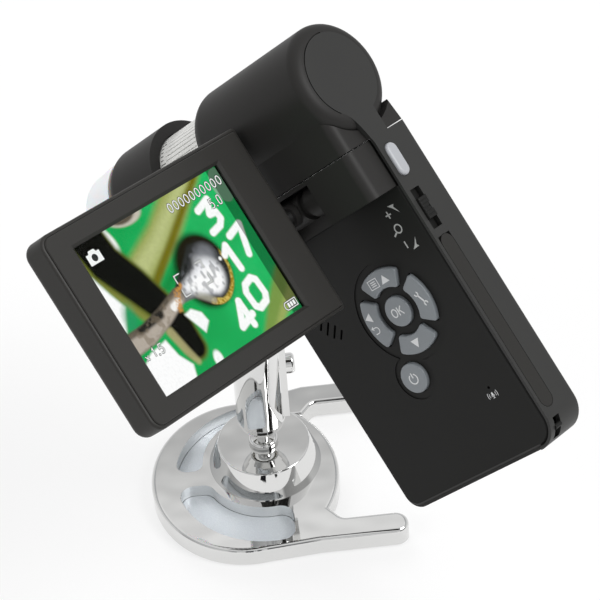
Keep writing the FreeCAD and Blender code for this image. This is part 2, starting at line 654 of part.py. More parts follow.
def make_screen_cover():
    """Screen's rear tray, whose rounded rim shows round the front plate."""
    tray = screen_slab((SCREEN_X + 0.35, SCREEN_BACK_X), 0.0, 4.0, 1.2)
    tray = round_off(tray, 0.8, lambda c, e: near(c.x, SCREEN_X + 0.35))
    tray = round_off(tray, 2.2, lambda c, e: near(c.x, SCREEN_BACK_X))
    hollow = screen_slab((SCREEN_X - 1, SCREEN_BACK_X - 1.6), 1.9, 2.4, 0.6)
    seat = screen_slab((SCREEN_X - 1, SCREEN_X + BEZEL_THICK), BEZEL_INSET, 3.1, 0.6)
    shaft_hole = rod_y(SWIVEL_RADIUS + RUN_GAP, (0, SCREEN_NEAR_Y + 4), SCREEN_X + SCREEN_THICK / 2,
                       FOLD_Z)
    return tray.cut(hollow).cut(seat).cut(shaft_hole).removeSplitter()


def make_screen_bezel():
    """Front plate with the bevelled opening round the glass."""
    plate = screen_slab((SCREEN_X, SCREEN_X + BEZEL_THICK), BEZEL_INSET + 0.15, 2.9, 0.5)
    plate = bevel(plate, 0.25, lambda c, e: near(c.x, SCREEN_X))
    lip = 0.9
    y0, y1 = GLASS_Y[0] - lip, GLASS_Y[1] + lip
    z0, z1 = GLASS_Z[0] - lip, GLASS_Z[1] + lip
    front = Part.makePolygon([Vector(SCREEN_X - 0.01, y, z) for y, z in
                              ((y0, z0), (y1, z0), (y1, z1), (y0, z1), (y0, z0))])
    y0, y1, z0, z1 = GLASS_Y[0], GLASS_Y[1], GLASS_Z[0], GLASS_Z[1]
    back = Part.makePolygon([Vector(SCREEN_X + 0.75, y, z) for y, z in
                             ((y0, z0), (y1, z0), (y1, z1), (y0, z1), (y0, z0))])
    funnel = Part.makeLoft([front, back], True, True)
    hole = box((SCREEN_X, SCREEN_X + 3), GLASS_Y, GLASS_Z)
    return plate.cut(funnel).cut(hole).removeSplitter()


def make_screen_glass():
    """Clear window behind the bezel's opening."""
    return box((SCREEN_X + BEZEL_THICK, SCREEN_X + BEZEL_THICK + 0.8),
               (GLASS_Y[0] - 1.6, GLASS_Y[1] + 1.6), (GLASS_Z[0] - 1.6, GLASS_Z[1] + 1.6))


def make_screen_module():
    """Display module with its metal frame behind the window."""
    x = SCREEN_X + BEZEL_THICK + 0.8
    return box((x, x + 2.6), (GLASS_Y[0] - 2.4, GLASS_Y[1] + 3.4), (GLASS_Z[0] - 2.2, GLASS_Z[1] + 2.2))


def make_screen_board():
    """Driver board behind the display module, clear of the swivel shaft."""
    x = SCREEN_X + BEZEL_THICK + 0.8 + 2.6
    return box((x + 0.4, x + 1.4), (SCREEN_Y[0] + 12, SCREEN_Y[1] - 12), (FOLD_Z - 18, FOLD_Z + 18))


def make_battery_door():
    """Sliding door over the battery bay, running down to the handle's end."""
    face = box((10.0, 55.0), (HANDLE_BACK_Y, HANDLE_BACK_Y + 1.4), (HANDLE_BOTTOM + 0.2, -48.2))
    rails = box((9.0, 56.0), (HANDLE_BACK_Y + 0.75, HANDLE_BACK_Y + 1.4),
                (HANDLE_BOTTOM + 6.5, -47.2))
    door = face.fuse(rails)
    for step in range(5):
        z = -58.0 + 1.6 * step
        door = door.cut(box((26, 39), (HANDLE_BACK_Y - 1, HANDLE_BACK_Y + 0.35), (z, z + 0.7)))
    return door.removeSplitter()


def make_battery():
    """Flat rechargeable battery in its bay."""
    cell = box((14, 51), (HANDLE_BACK_Y + 1.7, -7.0), (-104, -54))
    return round_off(cell, 1.2, lambda c, e: runs_along(e, Z_AXIS))


def make_main_board():
    """Main circuit board behind the keys."""
    board = box((3.6, 62.6), (-2.6, -1.2), (-114.0, -38.0))
    board = board.cut(box((0, 10), (-5, 5), (-118, -106)))
    board = board.cut(box((0, 10.2), (-5, 5), (-98, -64)))
    for x, z in ((6.5, -112.0), (58.5, -112.0)):
        board = board.cut(rod_y(3.2, (-5, 5), x, z))
    return board.cut(box((0, 5.2), (-5, 5), (-54, -33)))


def base_outline(z, inset):
    """The base's oval and its two prongs, drawn in by an inset, between two Z values."""
    centre_x, centre_y = OVAL_CENTRE
    oval = Part.Ellipse(Vector(centre_x, centre_y + OVAL_HALF[1] - inset, z[0]),
                        Vector(centre_x + OVAL_HALF[0] - inset, centre_y, z[0]),
                        Vector(centre_x, centre_y, z[0]))
    plate = Part.Face(Part.Wire(oval.toShape())).extrude(Z_AXIS * (z[1] - z[0]))
    for outside, tip, web_x in zip(PRONG_OUTSIDE, PRONG_END, WEB_X):
        side = math.copysign(1, outside)
        outer = outside - side * inset
        inner = outside - side * (PRONG_WIDTH - inset)
        end = tip - inset
        crook = web_x + WEB_SIZE[0]
        web = inner - side * WEB_SIZE[1]
        points = [(centre_x, centre_y + side * (OVAL_HALF[1] - inset)), (PRONG_START, outer),
                  (end, outer), (end, inner), (crook, inner), (web_x, web), (centre_x, web)]
        prong = polygon_prism([Vector(x, y, z[0]) for x, y in points], Z_AXIS * (z[1] - z[0]))
        prong = round_off(prong, PRONG_WIDTH / 2 - inset - 0.1,
                          lambda c, e: runs_along(e, Z_AXIS) and near(c.x, end))
        prong = round_off(prong, WEB_ROUND, lambda c, e: runs_along(e, Z_AXIS)
                          and near(c.x, crook) and near(c.y, inner))
        plate = plate.fuse(prong)
    return plate.removeSplitter()


def make_base():
    """Cast base plate: oval body, two prongs to one side and two kidney-shaped recesses."""
    plate = base_outline((SOLE_THICK, BASE_THICK), 0.0)
    plate = round_off(plate, 1.3, lambda c, e: near(c.z, BASE_THICK))
    plate = plate.cut(rod_z(1.95, (-1, BASE_THICK + 1), 0, CONE_Y))
    plate = plate.cut(rod_z(5.2, (-1, 3.4), 0, CONE_Y))
    for side in (-1, 1):
        plate = plate.cut(kidney(side, 0.0, (BASE_THICK - RECESS_DEPTH, BASE_THICK + 1)))
    return plate.removeSplitter()


def make_recess_liners():
    """Two bright liners lying in the kidney-shaped recesses."""
    floor = BASE_THICK - RECESS_DEPTH
    return Part.makeCompound([kidney(side, 0.1, (floor, floor + LINER_SHEET)) for side in (-1, 1)])


def kidney(side, inset, z):
    """A recess between the cone's foot and the base's rim, on one side, with rounded ends."""
    shape = rod_z(RECESS_OUTER - inset, z)
    shape = shape.cut(rod_z(RECESS_INNER + inset, (z[0] - 1, z[1] + 1), 0, CONE_Y))
    low = RECESS_SIDE + inset
    end = RECESS_END - inset if side < 0 else inset * -1
    window = (-RECESS_OUTER, -low) if side < 0 else (low, RECESS_OUTER)
    shape = shape.common(box((-RECESS_OUTER, end), window, z))
    near_round, far_round = (4.4, 4.2) if side < 0 else (2.0, 3.2)
    shape = round_off(shape, near_round - inset,
                      lambda c, e: runs_along(e, Z_AXIS) and c.x > -10)
    return round_off(shape, far_round - inset,
                     lambda c, e: runs_along(e, Z_AXIS) and near(abs(c.y), low))


def make_base_cone():
    """Polished cone on the base, bored for the ball's neck."""
    cone = Part.makeCone(CONE_LOW_RADIUS, CONE_TOP_RADIUS, CONE_HEIGHT, Vector(0, 0, BASE_THICK))
    cone = round_off(cone, 0.5, lambda c, e: near(c.z, CONE_TOP))
    cone = cone.cut(rod_z(NECK_RADIUS + RUN_GAP, (CONE_TOP - 5, CONE_TOP + 1)))
    cone = cone.cut(rod_z(1.85, (BASE_THICK - 1, BASE_THICK + 2.8)))
    cone.translate(Y_AXIS * CONE_Y)
    return cone


def make_base_screw():
    """Screw from under the base into the cone."""
    head = rod_z(5.0, (1.2, 3.4), 0, CONE_Y)
    shank = rod_z(1.85, (3.2, BASE_THICK + 2.6), 0, CONE_Y)
    slot = box((-3.5, 3.5), (CONE_Y - 0.6, CONE_Y + 0.6), (1.0, 2.0))
    return head.fuse(shank).cut(slot).removeSplitter()


def make_ball_stud():
    """Ball on a short neck with a round collar, turning in the cone's top."""
    ball = Part.makeSphere(BALL_RADIUS, Vector(0, CONE_Y, BALL_Z))
    neck = rod_z(NECK_RADIUS, (CONE_TOP - 4.8, BALL_Z), 0, CONE_Y)
    low = CONE_TOP + 0.05
    collar = rod_z(NECK_COLLAR_RADIUS, (low, low + NECK_COLLAR_HEIGHT), 0, CONE_Y)
    collar = round_off(collar, 0.9, lambda c, e: near(c.z, low + NECK_COLLAR_HEIGHT))
    collar = bevel(collar, 0.5, lambda c, e: near(c.z, low))
    return ball.fuse(neck).fuse(collar).removeSplitter()


def leaned(shape):
    """A shape drawn round the ball, tilted with the stem and set at the ball."""
    shape.rotate(Vector(0, 0, 0), X_AXIS, STEM_LEAN)
    shape.translate(Vector(0, CONE_Y, BALL_Z))
    return shape


def make_ball_liner():
    """Thin cup between the ball and the stem's socket."""
    cup = Part.makeSphere(BALL_RADIUS + LINER_THICK)
    cup = cup.cut(Part.makeSphere(BALL_RADIUS + 0.05))
    return leaned(cup.common(box((-9, 9), (-9, 9), (-1.1, 9))))


def make_stem():
    """Stem with a ball socket in its tapered foot and a flat for the arm."""
    low = -SOCKET_LIP
    profile = [(0, low), (4.3, low), (5.4, low + 1.3), (6.9, low + 3.4), (7.45, low + 5.2),
               (STEM_RADIUS, low + 6.8), (STEM_RADIUS, STEM_REACH - 3),
               (STEM_RADIUS - 3, STEM_REACH), (0, STEM_REACH)]
    points = [Vector(radius, 0, z) for radius, z in profile]
    stem = Part.Face(Part.makePolygon(points + points[:1])).revolve(Vector(0, 0, 0), Z_AXIS, 360)
    socket = Part.makeSphere(BALL_RADIUS + LINER_THICK + RUN_GAP)
    throat = rod_z(3.35, (low - 1, 0))
    flat = box((ARM_X[0] - TOUCH_GAP, 12), (-10, 10), (6, STEM_REACH + 1))
    pivot = rod(PIVOT_RADIUS + RUN_GAP, (-2, 0, (PIVOT_Z - BALL_Z) / math.cos(
        math.radians(STEM_LEAN))), X_AXIS, 20)
    return leaned(stem.cut(socket).cut(throat).cut(flat).cut(pivot).removeSplitter())


def make_arm():
    """Flat arm on the stem's side, with a pointed tail, up to the clamp."""
    half = ARM_WIDTH / 2
    outline = [
        Vector(ARM_X[0], 0, ARM_TAIL_Z - 4), Vector(ARM_X[0], half, ARM_TAIL_Z),
        Vector(ARM_X[0], half, ARM_TOP_Z - half), Vector(ARM_X[0], -half, ARM_TOP_Z - half),
        Vector(ARM_X[0], -half, ARM_TAIL_Z),
    ]
    arm = polygon_prism(outline, X_AXIS * (ARM_X[1] - ARM_X[0]))
    arm = arm.fuse(rod(half, (ARM_X[0], 0, ARM_TOP_Z - half), X_AXIS, ARM_X[1] - ARM_X[0]))
    arm = arm.removeSplitter()
    return arm.cut(rod(PIVOT_RADIUS, (0, 0, PIVOT_Z), X_AXIS, 20)).cut(
        rod(1.3, (0, 0, ARM_TOP_Z - half), X_AXIS, 20))


def make_pivot_knob():
    """Round-headed pivot screw through the arm into the stem."""
    shank = rod(PIVOT_RADIUS, (-1.5, 0, PIVOT_Z), X_AXIS, ARM_X[1] + 1.5)
    head = rod(KNOB_RADIUS, (ARM_X[1], 0, PIVOT_Z), X_AXIS, 2.8)
    head = round_off(head, 1.2, lambda c, e: near(c.x, ARM_X[1] + 2.8) and e.Length > 5)
    return head.fuse(shank).removeSplitter()


def make_arm_rivet():
    """Rivet that fixes the arm's top to the clamp."""
    z = ARM_TOP_Z - ARM_WIDTH / 2
    head = rod(2.4, (ARM_X[0] - 0.9, 0, z), X_AXIS, 0.9)
    return head.fuse(rod(1.3, (ARM_X[0] - 0.1, 0, z), X_AXIS, 7.0)).removeSplitter()


def clamp_block(y, z):
    """A block of the clamp, from its web to past its screw, between Y and Z values."""
    return box((CLAMP_WEB_X[0], CLAMP_SCREW_X + 3.6), y, z)


def make_clamp_body():
    """Clamp with its web in front of the handle's edge, its fixed jaw and the arm's boss."""
    back = BACK_PAD_Y[0]
    web = box(CLAMP_WEB_X, (back - JAW_THICK, -1.0), CLAMP_Z)
    jaw = box((JAW_REACH_X, CLAMP_WEB_X[1]), (back - JAW_THICK, back), CLAMP_Z)
    lug = clamp_block((back - JAW_THICK, back + 2.2), (CLAMP_SCREW_Z - 3.6, CLAMP_Z[1]))
    z = ARM_TOP_Z - ARM_WIDTH / 2
    boss = off_stand(rod(BOSS_RADIUS, (ARM_X[1], 0, z), X_AXIS, BOSS_LENGTH))
    body = web.fuse(jaw).fuse(lug).fuse(boss)
    body = body.cut(handle_prism((HANDLE_BACK_Y - 0.2, COVER_FRONT_Y + 0.2), -0.3))
    body = body.cut(box((0, HANDLE_DEPTH + 0.3), (back, COVER_FRONT_Y), (-130, 0)))
    body = body.cut(off_stand(rod(1.3, (ARM_X[0], 0, z), X_AXIS, 6.9)))
    screw = rod_y(CLAMP_SCREW_RADIUS + RUN_GAP, (-30, 20), CLAMP_SCREW_X, CLAMP_SCREW_Z)
    return body.cut(screw).removeSplitter()


def make_clamp_pad(y):
    """Rubber pad on a jaw."""
    return box((JAW_REACH_X + 0.4, HANDLE_DEPTH - 1.0), y, (CLAMP_SCREW_Z - 5.4, CLAMP_Z[1] - 0.8))


def make_clamp_jaw():
    """Moving jaw on the keypad side, drawn in by the clamp screw."""
    front = FRONT_PAD_Y[1]
    z = (CLAMP_SCREW_Z - 6.0, CLAMP_Z[1] - 0.3)
    plate = box((JAW_REACH_X, CLAMP_SCREW_X + 3.6), (front, front + JAW_THICK), z)
    nut = clamp_block((front - 4.0, front), z)
    nut = nut.cut(box((0, HANDLE_DEPTH + 0.3), (-20, front), (-130, 0)))
    body = plate.fuse(nut).removeSplitter()
    return body.cut(rod_y(CLAMP_SCREW_RADIUS + RUN_GAP, (-30, 30), CLAMP_SCREW_X, CLAMP_SCREW_Z))


def make_clamp_screw():
    """Clamp screw with its knurled head on the far side."""
    back = BACK_PAD_Y[0] - JAW_THICK
    x, z = CLAMP_SCREW_X, CLAMP_SCREW_Z
    shank = rod_y(CLAMP_SCREW_RADIUS, (back - 0.2, FRONT_PAD_Y[1] + JAW_THICK + 3.0), x, z)
    head = rod_y(KNOB_WIDE, (back - 6.0, back - TOUCH_GAP), x, z)
    head = bevel(head, 0.5, lambda c, e: near(c.y, back - 6.0))
    for step in range(16):
        angle = math.radians(step * 22.5)
        reach = KNOB_WIDE + 0.2
        head = head.cut(rod_y(0.5, (back - 7, back), x + reach * math.cos(angle),
                              z + reach * math.sin(angle)))
    return head.fuse(shank).removeSplitter()


MICROSCOPE_PARTS = {
    "barrel_housing": make_barrel(),
    "rear_plate": make_rear_plate(),
    "main_shell": make_main_shell(),
    "keypad_cover": make_keypad_cover(),
    "hinge_block": make_hinge_block(),
    "barrel_fairing": make_barrel_fairing(),
    "side_fairing": make_side_fairing(),
    "case_screws": make_case_screws(),
    "snapshot_button": make_snapshot_button(),
    "zoom_slider": make_zoom_slider(),
    "port_flap": make_port_flap(),
    "usb_socket": socket_block((-2.2, 1.0), (-74.0, -66.0), 6.0, 0.5),
    "card_socket": socket_block((-2.2, 0.6), (-96.0, -78.0), 8.0, 0.5),
    "strap_bar": rod_y(0.8, STRAP_Y, 1.6, -114.2),
    "main_board": make_main_board(),
    "battery": make_battery(),
    "battery_door": make_battery_door(),
    "speaker": rod_y(5.0, (-0.9, 1.5), 52.8, -60.0),
    "microphone": rod_y(1.6, (-1.1, 1.7), 12.6, -95.7),
    "focus_ring": make_focus_ring(),
    "front_tube": make_front_tube(),
    "collar": make_collar(),
    "light_cap": make_tip(),
    "lamp_board": ring_x(8.55, 4.6, (86.4, 87.6)),
    "lamps": make_lamps(),
    "lens_carrier": make_lens_carrier(),
    "lens": make_lens(),
    "sensor_board": box((44.2, 45.6), (-6, 6), (-6, 6)),
    "hinge_axle": make_axle(),
    "fold_knuckle": make_knuckle(),
    "swivel_shaft": make_swivel_shaft(),
    "screen_cover": make_screen_cover(),
    "screen_bezel": make_screen_bezel(),
    "screen_glass": make_screen_glass(),
    "screen_module": make_screen_module(),
    "screen_board": make_screen_board(),
    "clamp_body": make_clamp_body(),
    "clamp_back_pad": make_clamp_pad(BACK_PAD_Y),
    "clamp_jaw": make_clamp_jaw(),
    "clamp_front_pad": make_clamp_pad(FRONT_PAD_Y),
    "clamp_screw": make_clamp_screw(),
}
for key_name in KEY_NAMES:
    MICROSCOPE_PARTS[key_name] = make_key(key_name)

STAND_PARTS = {
    "base_plate": make_base(),
    "base_cone": make_base_cone(),
    "base_screw": make_base_screw(),
    "base_sole": base_outline((0, SOLE_THICK), SOLE_INSET),
    "recess_liners": make_recess_liners(),
    "ball_stud": make_ball_stud(),
    "ball_liner": make_ball_liner(),
    "stem": make_stem(),
    "tilt_arm": make_arm(),
    "pivot_knob": make_pivot_knob(),
    "arm_rivet": make_arm_rivet(),
}

ALL_PARTS = {name: on_stand(shape) for name, shape in MICROSCOPE_PARTS.items()}
ALL_PARTS.update(STAND_PARTS)
for node, shape in sorted(ALL_PARTS.items()):
    shape.exportStep("parts/" + node + ".step")
    box_size = shape.BoundBox
    print(node, len(shape.Solids), shape.isValid(), round(shape.Volume, 1),
          [round(v, 1) for v in (box_size.XMin, box_size.XMax, box_size.YMin, box_size.YMax,
                                 box_size.ZMin, box_size.ZMax)])
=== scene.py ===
"""Looks of a hand-held digital microscope with a swing-out screen on its chromed table stand.

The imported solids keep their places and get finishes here. The lit picture, the signs on the
keys and the scale on the focus ring are extra meshes, worked out with numpy. The microscope has
its own frame, in millimetres: x runs along the barrel towards the lens, y points to the keypad
side and z up the handle. Lean turns that frame into the world, in metres.
"""
from __future__ import annotations

import json
import logging
import math
from collections.abc import Callable, Sequence
from dataclasses import dataclass
from enum import Enum

import bmesh
import bpy
import numpy as np
from mathutils import Matrix, Vector


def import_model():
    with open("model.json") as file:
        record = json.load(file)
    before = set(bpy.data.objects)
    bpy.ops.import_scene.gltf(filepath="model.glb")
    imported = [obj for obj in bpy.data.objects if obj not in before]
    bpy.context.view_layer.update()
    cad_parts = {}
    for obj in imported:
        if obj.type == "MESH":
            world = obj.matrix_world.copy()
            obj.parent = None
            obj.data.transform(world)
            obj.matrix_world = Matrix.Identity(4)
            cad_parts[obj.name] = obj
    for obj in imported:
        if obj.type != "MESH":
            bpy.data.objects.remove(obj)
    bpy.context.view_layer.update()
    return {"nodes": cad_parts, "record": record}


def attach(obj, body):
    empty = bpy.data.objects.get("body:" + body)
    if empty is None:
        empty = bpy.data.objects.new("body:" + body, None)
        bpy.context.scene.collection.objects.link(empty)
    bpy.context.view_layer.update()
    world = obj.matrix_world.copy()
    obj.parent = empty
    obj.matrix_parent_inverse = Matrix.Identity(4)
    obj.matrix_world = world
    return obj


LOG = logging.getLogger("microscope")
MM = 0.001
Point = tuple[float, float]
Place = tuple[float, float, float]
Colour = tuple[float, float, float]
# Scale of the broad, faint unevenness that every finish has, on Object coordinates in metres.
BROAD_CLOUDS = 55.0


def linear(red: float, green: float, blue: float) -> Colour:
    """Linear colour of a display colour given from 0 to 255.

    Args:
        red, green, blue: the three display values.

    Returns:
        The three linear values, by the usual display curve.
    """
    def one(value: float) -> float:
        """One channel: a straight foot, then a power of 2.4."""
        part = value / 255
        return part / 12.92 if part <= 0.04045 else ((part + 0.055) / 1.055) ** 2.4
    return one(red), one(green), one(blue)


class Signal:
    """A shader value that takes part in sums: each operator adds one Math node."""

    def __init__(self, graph: Graph, socket: bpy.types.NodeSocket) -> None:
        """Wraps an output socket of a graph."""
        self.graph = graph
        self.socket = socket

    def _sum(self, operation: str, first: object, second: object) -> Signal:
        """Adds a Math node that works on two values or sockets."""
        node = self.graph.node("ShaderNodeMath", {"operation": operation}, {0: first, 1: second})
        return Signal(self.graph, node.outputs[0])

    def __add__(self, other: object) -> Signal:
        """Sum."""
        return self._sum("ADD", self, other)

    def __radd__(self, other: object) -> Signal:
        """Sum, reflected."""
        return self._sum("ADD", other, self)

    def __sub__(self, other: object) -> Signal:
        """Difference."""
        return self._sum("SUBTRACT", self, other)

    def __rsub__(self, other: object) -> Signal:
        """Difference, reflected."""
        return self._sum("SUBTRACT", other, self)

    def __mul__(self, other: object) -> Signal:
        """Product."""
        return self._sum("MULTIPLY", self, other)

    def __rmul__(self, other: object) -> Signal:
        """Product, reflected."""
        return self._sum("MULTIPLY", other, self)

    def most(self, other: object) -> Signal:
        """The larger of two."""
        return self._sum("MAXIMUM", self, other)

    def least(self, other: object) -> Signal:
        """The smaller of two."""
        return self._sum("MINIMUM", self, other)


class Graph:
    """A material or world node tree, filled through one method that adds any node."""

    def __init__(self, owner: bpy.types.ID) -> None:
        """Takes over a node tree and empties it.

        Args:
            owner: the material or world whose tree is filled.
        """
        owner.use_nodes = True
        self.tree = owner.node_tree
        self.tree.nodes.clear()

    def node(self, kind: str, settings: dict[str, object] | None = None,
             inputs: dict[str | int, object] | None = None) -> bpy.types.Node:
        """Adds a node.

        Args:
            kind: the node's type.
            settings: its properties, set first; "stops" holds a ramp's places and colours.
            inputs: values or links of its sockets, by name or number.

        Returns:
            The new node.
        """
        node = self.tree.nodes.new(kind)
        for name, value in (settings or {}).items():
            if name == "stops":
                self._set_stops(node.color_ramp, value)
            else:
                setattr(node, name, value)
        for name, value in (inputs or {}).items():
            self._wire(node.inputs[name], value)
        return node

    def _wire(self, socket: bpy.types.NodeSocket, value: object) -> None:
        """Links a socket to another, or sets its own value.

        Args:
            socket: the input to fill.
            value: a signal or an output to link, or a plain value to set.
        """
        if isinstance(value, Signal):
            value = value.socket
        if isinstance(value, bpy.types.NodeSocket):
            self.tree.links.new(value, socket)
        elif socket.type == "RGBA":
            socket.default_value = (*value, 1.0)
        else:
            socket.default_value = value

    def _set_stops(self, ramp: bpy.types.ColorRamp,
                   stops: Sequence[tuple[float, Colour]]) -> None:
        """Gives a colour ramp its stops.

        Args:
            ramp: the ramp to fill.
            stops: place and colour of each stop, lowest first.
        """
        while len(ramp.elements) > 1:
            ramp.elements.remove(ramp.elements[-1])
        ramp.elements[0].position = stops[0][0]
        ramp.elements[0].color = (*stops[0][1], 1.0)
        for place, colour in stops[1:]:
            ramp.elements.new(place).color = (*colour, 1.0)

    def signal(self, socket: bpy.types.NodeSocket) -> Signal:
        """Wraps a socket for sums."""
        return Signal(self, socket)

    def blend(self, factor: object, low: object, high: object) -> bpy.types.NodeSocket:
        """Mixes two colours by a factor and returns the mixed colour's socket."""
        node = self.node("ShaderNodeMix", {"data_type": "RGBA"}, {0: factor, 6: low, 7: high})
        return node.outputs[2]


class Grain(Enum):
    """How a surface is textured."""

    MOULDED = "moulded"
    BRUSHED = "brushed"
    POLISHED = "polished"
    SPARKLING = "sparkling"


@dataclass(frozen=True)
class Finish:
    """A surface finish: its colour, its texture and the shader's uniform values."""

    name: str
    colour: Colour
    roughness: float
    grain: Grain = Grain.MOULDED
    grain_size: float = 0.35
    grain_depth: float = 0.012
    tone_spread: float = 0.1
    roughness_spread: float = 0.08
    metallic: float = 0.0
    brushed_along: Place = (0.0, 0.0, 1.0)
    uniform: tuple[tuple[str, float], ...] = ()

    def build(self) -> bpy.types.Material:
        """Makes the material.

        Returns:
            A material whose colour, roughness and bump follow noise on Object coordinates.
        """
        material = bpy.data.materials.new(self.name)
        graph = Graph(material)
        place = graph.node("ShaderNodeTexCoord").outputs["Object"]
        broad = graph.node("ShaderNodeTexNoise", None,
                           {"Vector": place, "Scale": BROAD_CLOUDS, "Detail": 3.0})
        mask = graph.signal(broad.outputs["Fac"])
        height = self._height(graph, place)
        dark = tuple(part * (1 - self.tone_spread) for part in self.colour)
        light = tuple(min(1.0, part * (1 + self.tone_spread)) for part in self.colour)
        tone = (mask * 0.6 + height * 0.4).least(1.0).most(0.0)
        roughness = (mask - 0.5) * self.roughness_spread + self.roughness
        bump = graph.node("ShaderNodeBump", None, {
            "Height": height, "Strength": 1.0, "Distance": self.grain_depth * MM})
        inputs = {
            "Base Color": graph.blend(tone, dark, light), "Roughness": roughness.most(0.01),
            "Metallic": self.metallic, "Normal": bump.outputs["Normal"],
        }
        inputs.update(dict(self.uniform))
        shader = graph.node("ShaderNodeBsdfPrincipled", None, inputs)
        graph.node("ShaderNodeOutputMaterial", None, {"Surface": shader.outputs["BSDF"]})
        return material

    def _height(self, graph: Graph, place: bpy.types.NodeSocket) -> Signal:
        """The bump's height by the kind of grain.

        Args:
            graph: the material's node tree.
            place: Object coordinates.

        Returns:
            A height between 0 and 1: distance to cell centres, or noise drawn out if brushed.
        """
        scale = 1 / (self.grain_size * MM)
        if self.grain is Grain.SPARKLING:
            cells = graph.node("ShaderNodeTexVoronoi", None, {"Vector": place, "Scale": scale})
            return graph.signal(cells.outputs["Distance"])
        if self.grain is Grain.BRUSHED:
            stretch = tuple(0.04 if part > 0.5 else 1.0 for part in self.brushed_along)
            place = graph.node("ShaderNodeMapping", None,
                               {"Vector": place, "Scale": stretch}).outputs["Vector"]
        detail = 1.0 if self.grain is Grain.POLISHED else 4.0
        noise = graph.node("ShaderNodeTexNoise", None,
                           {"Vector": place, "Scale": scale, "Detail": detail})
        return graph.signal(noise.outputs["Fac"])


@dataclass(frozen=True)
class PictureGlow:
    """The lit display: the picture's attribute glows, with a faint grain over it."""

    name: str = "display_glow"
    strength: float = 1.0
    grain: float = 260.0
    unevenness: float = 0.14

    def build(self) -> bpy.types.Material:
        """Makes the material.

        Returns:
            A material that glows in the mesh's own picture attribute, dimmed by fine noise on
            its UV map.
        """
        material = bpy.data.materials.new(self.name)
        graph = Graph(material)
        picture = graph.node("ShaderNodeAttribute", {"attribute_name": "picture"})
        place = graph.node("ShaderNodeUVMap", {"uv_map": "screen"}).outputs["UV"]
        grain = graph.node("ShaderNodeTexNoise", None,
                           {"Vector": place, "Scale": self.grain, "Detail": 2.0})
        dim = (graph.signal(grain.outputs["Fac"]) - 0.5) * self.unevenness + 0.01
        colour = graph.blend(dim.most(0.0), picture.outputs["Color"], (0.0, 0.0, 0.0))
        shader = graph.node("ShaderNodeBsdfPrincipled", None, {
            "Base Color": (0.002, 0.002, 0.002), "Roughness": 0.4, "Specular IOR Level": 0.0,
            "Emission Color": colour, "Emission Strength": self.strength})
        graph.node("ShaderNodeOutputMaterial", None, {"Surface": shader.outputs["BSDF"]})
        return material


FINISHES: tuple[Finish, ...] = (
    Finish("black_case", linear(35, 34, 33), 0.52, grain_size=0.3, grain_depth=0.010,
           uniform=(("Specular IOR Level", 0.24),)),
    Finish("lid_black", linear(24, 24, 23), 0.5, grain_size=0.3, grain_depth=0.010,
           uniform=(("Specular IOR Level", 0.17),)),
    Finish("screen_black", linear(43, 42, 40), 0.46, grain_size=0.3, grain_depth=0.008,
           uniform=(("Specular IOR Level", 0.26),)),
    Finish("rear_grey", linear(42, 42, 41), 0.46, grain_size=0.3, grain_depth=0.008,
           uniform=(("Specular IOR Level", 0.3),)),
    Finish("key_grey", linear(122, 127, 131), 0.36, grain_size=0.2, grain_depth=0.003,
           tone_spread=0.05),
    Finish("silver_key", linear(168, 170, 174), 0.3, grain_size=0.15, grain_depth=0.003,
           tone_spread=0.04),
    Finish("ring_white", linear(224, 224, 221), 0.34, grain_size=0.3, grain_depth=0.004,
           tone_spread=0.05),
    Finish("frosted_cap", linear(238, 240, 243), 0.42, grain_size=0.25, grain_depth=0.010,
           tone_spread=0.03, uniform=(("Subsurface Weight", 0.35), ("Subsurface Scale", 0.004),
                                      ("Specular IOR Level", 0.4))),
    Finish("clear_glass", (0.98, 0.99, 0.99), 0.02, grain_size=8.0, grain_depth=0.0005,
           tone_spread=0.01, roughness_spread=0.01,
           uniform=(("Transmission Weight", 1.0), ("IOR", 1.14))),
    Finish("lens_glass", (0.93, 0.96, 0.99), 0.015, grain_size=8.0, grain_depth=0.0005,
           tone_spread=0.02, roughness_spread=0.01,
           uniform=(("Transmission Weight", 1.0), ("IOR", 1.5))),
    Finish("display", linear(60, 62, 64), 0.4, Grain.BRUSHED, grain_size=0.2,
           grain_depth=0.004, metallic=0.8),
    Finish("chrome_plate", linear(222, 222, 221), 0.035, Grain.POLISHED, grain_size=14.0,
           grain_depth=0.11, tone_spread=0.02, roughness_spread=0.03, metallic=1.0),
    Finish("steel", linear(170, 170, 170), 0.28, Grain.BRUSHED, grain_size=0.15,
           grain_depth=0.004, metallic=1.0),
    Finish("satin_metal", linear(232, 238, 247), 0.42, Grain.SPARKLING, grain_size=0.32,
           grain_depth=0.05, tone_spread=0.14, roughness_spread=0.2, metallic=0.35),
    Finish("pad_rubber", linear(34, 34, 34), 0.72, grain_size=0.25, grain_depth=0.02),
    Finish("flap_rubber", linear(36, 35, 33), 0.62, grain_size=0.25, grain_depth=0.012,
           uniform=(("Specular IOR Level", 0.25),)),
    Finish("board", linear(22, 84, 48), 0.38, grain_size=0.8, grain_depth=0.01,
           tone_spread=0.2),
    Finish("battery_wrap", linear(70, 78, 92), 0.3, grain_size=1.2, grain_depth=0.01,
           tone_spread=0.12),
    Finish("liner_plastic", linear(228, 225, 214), 0.45, grain_size=0.3, grain_depth=0.005,
           tone_spread=0.04),
    Finish("lamp_yellow", linear(238, 226, 158), 0.25, grain_size=0.4, grain_depth=0.004,
           uniform=(("Transmission Weight", 0.3),)),
    Finish("print_white", linear(212, 213, 214), 0.5, grain_size=0.1, grain_depth=0.002,
           tone_spread=0.05),
    Finish("print_grey", linear(168, 169, 168), 0.5, grain_size=0.1, grain_depth=0.002,
           tone_spread=0.06),
    Finish("print_black", linear(24, 24, 25), 0.5, grain_size=0.1, grain_depth=0.002),
)

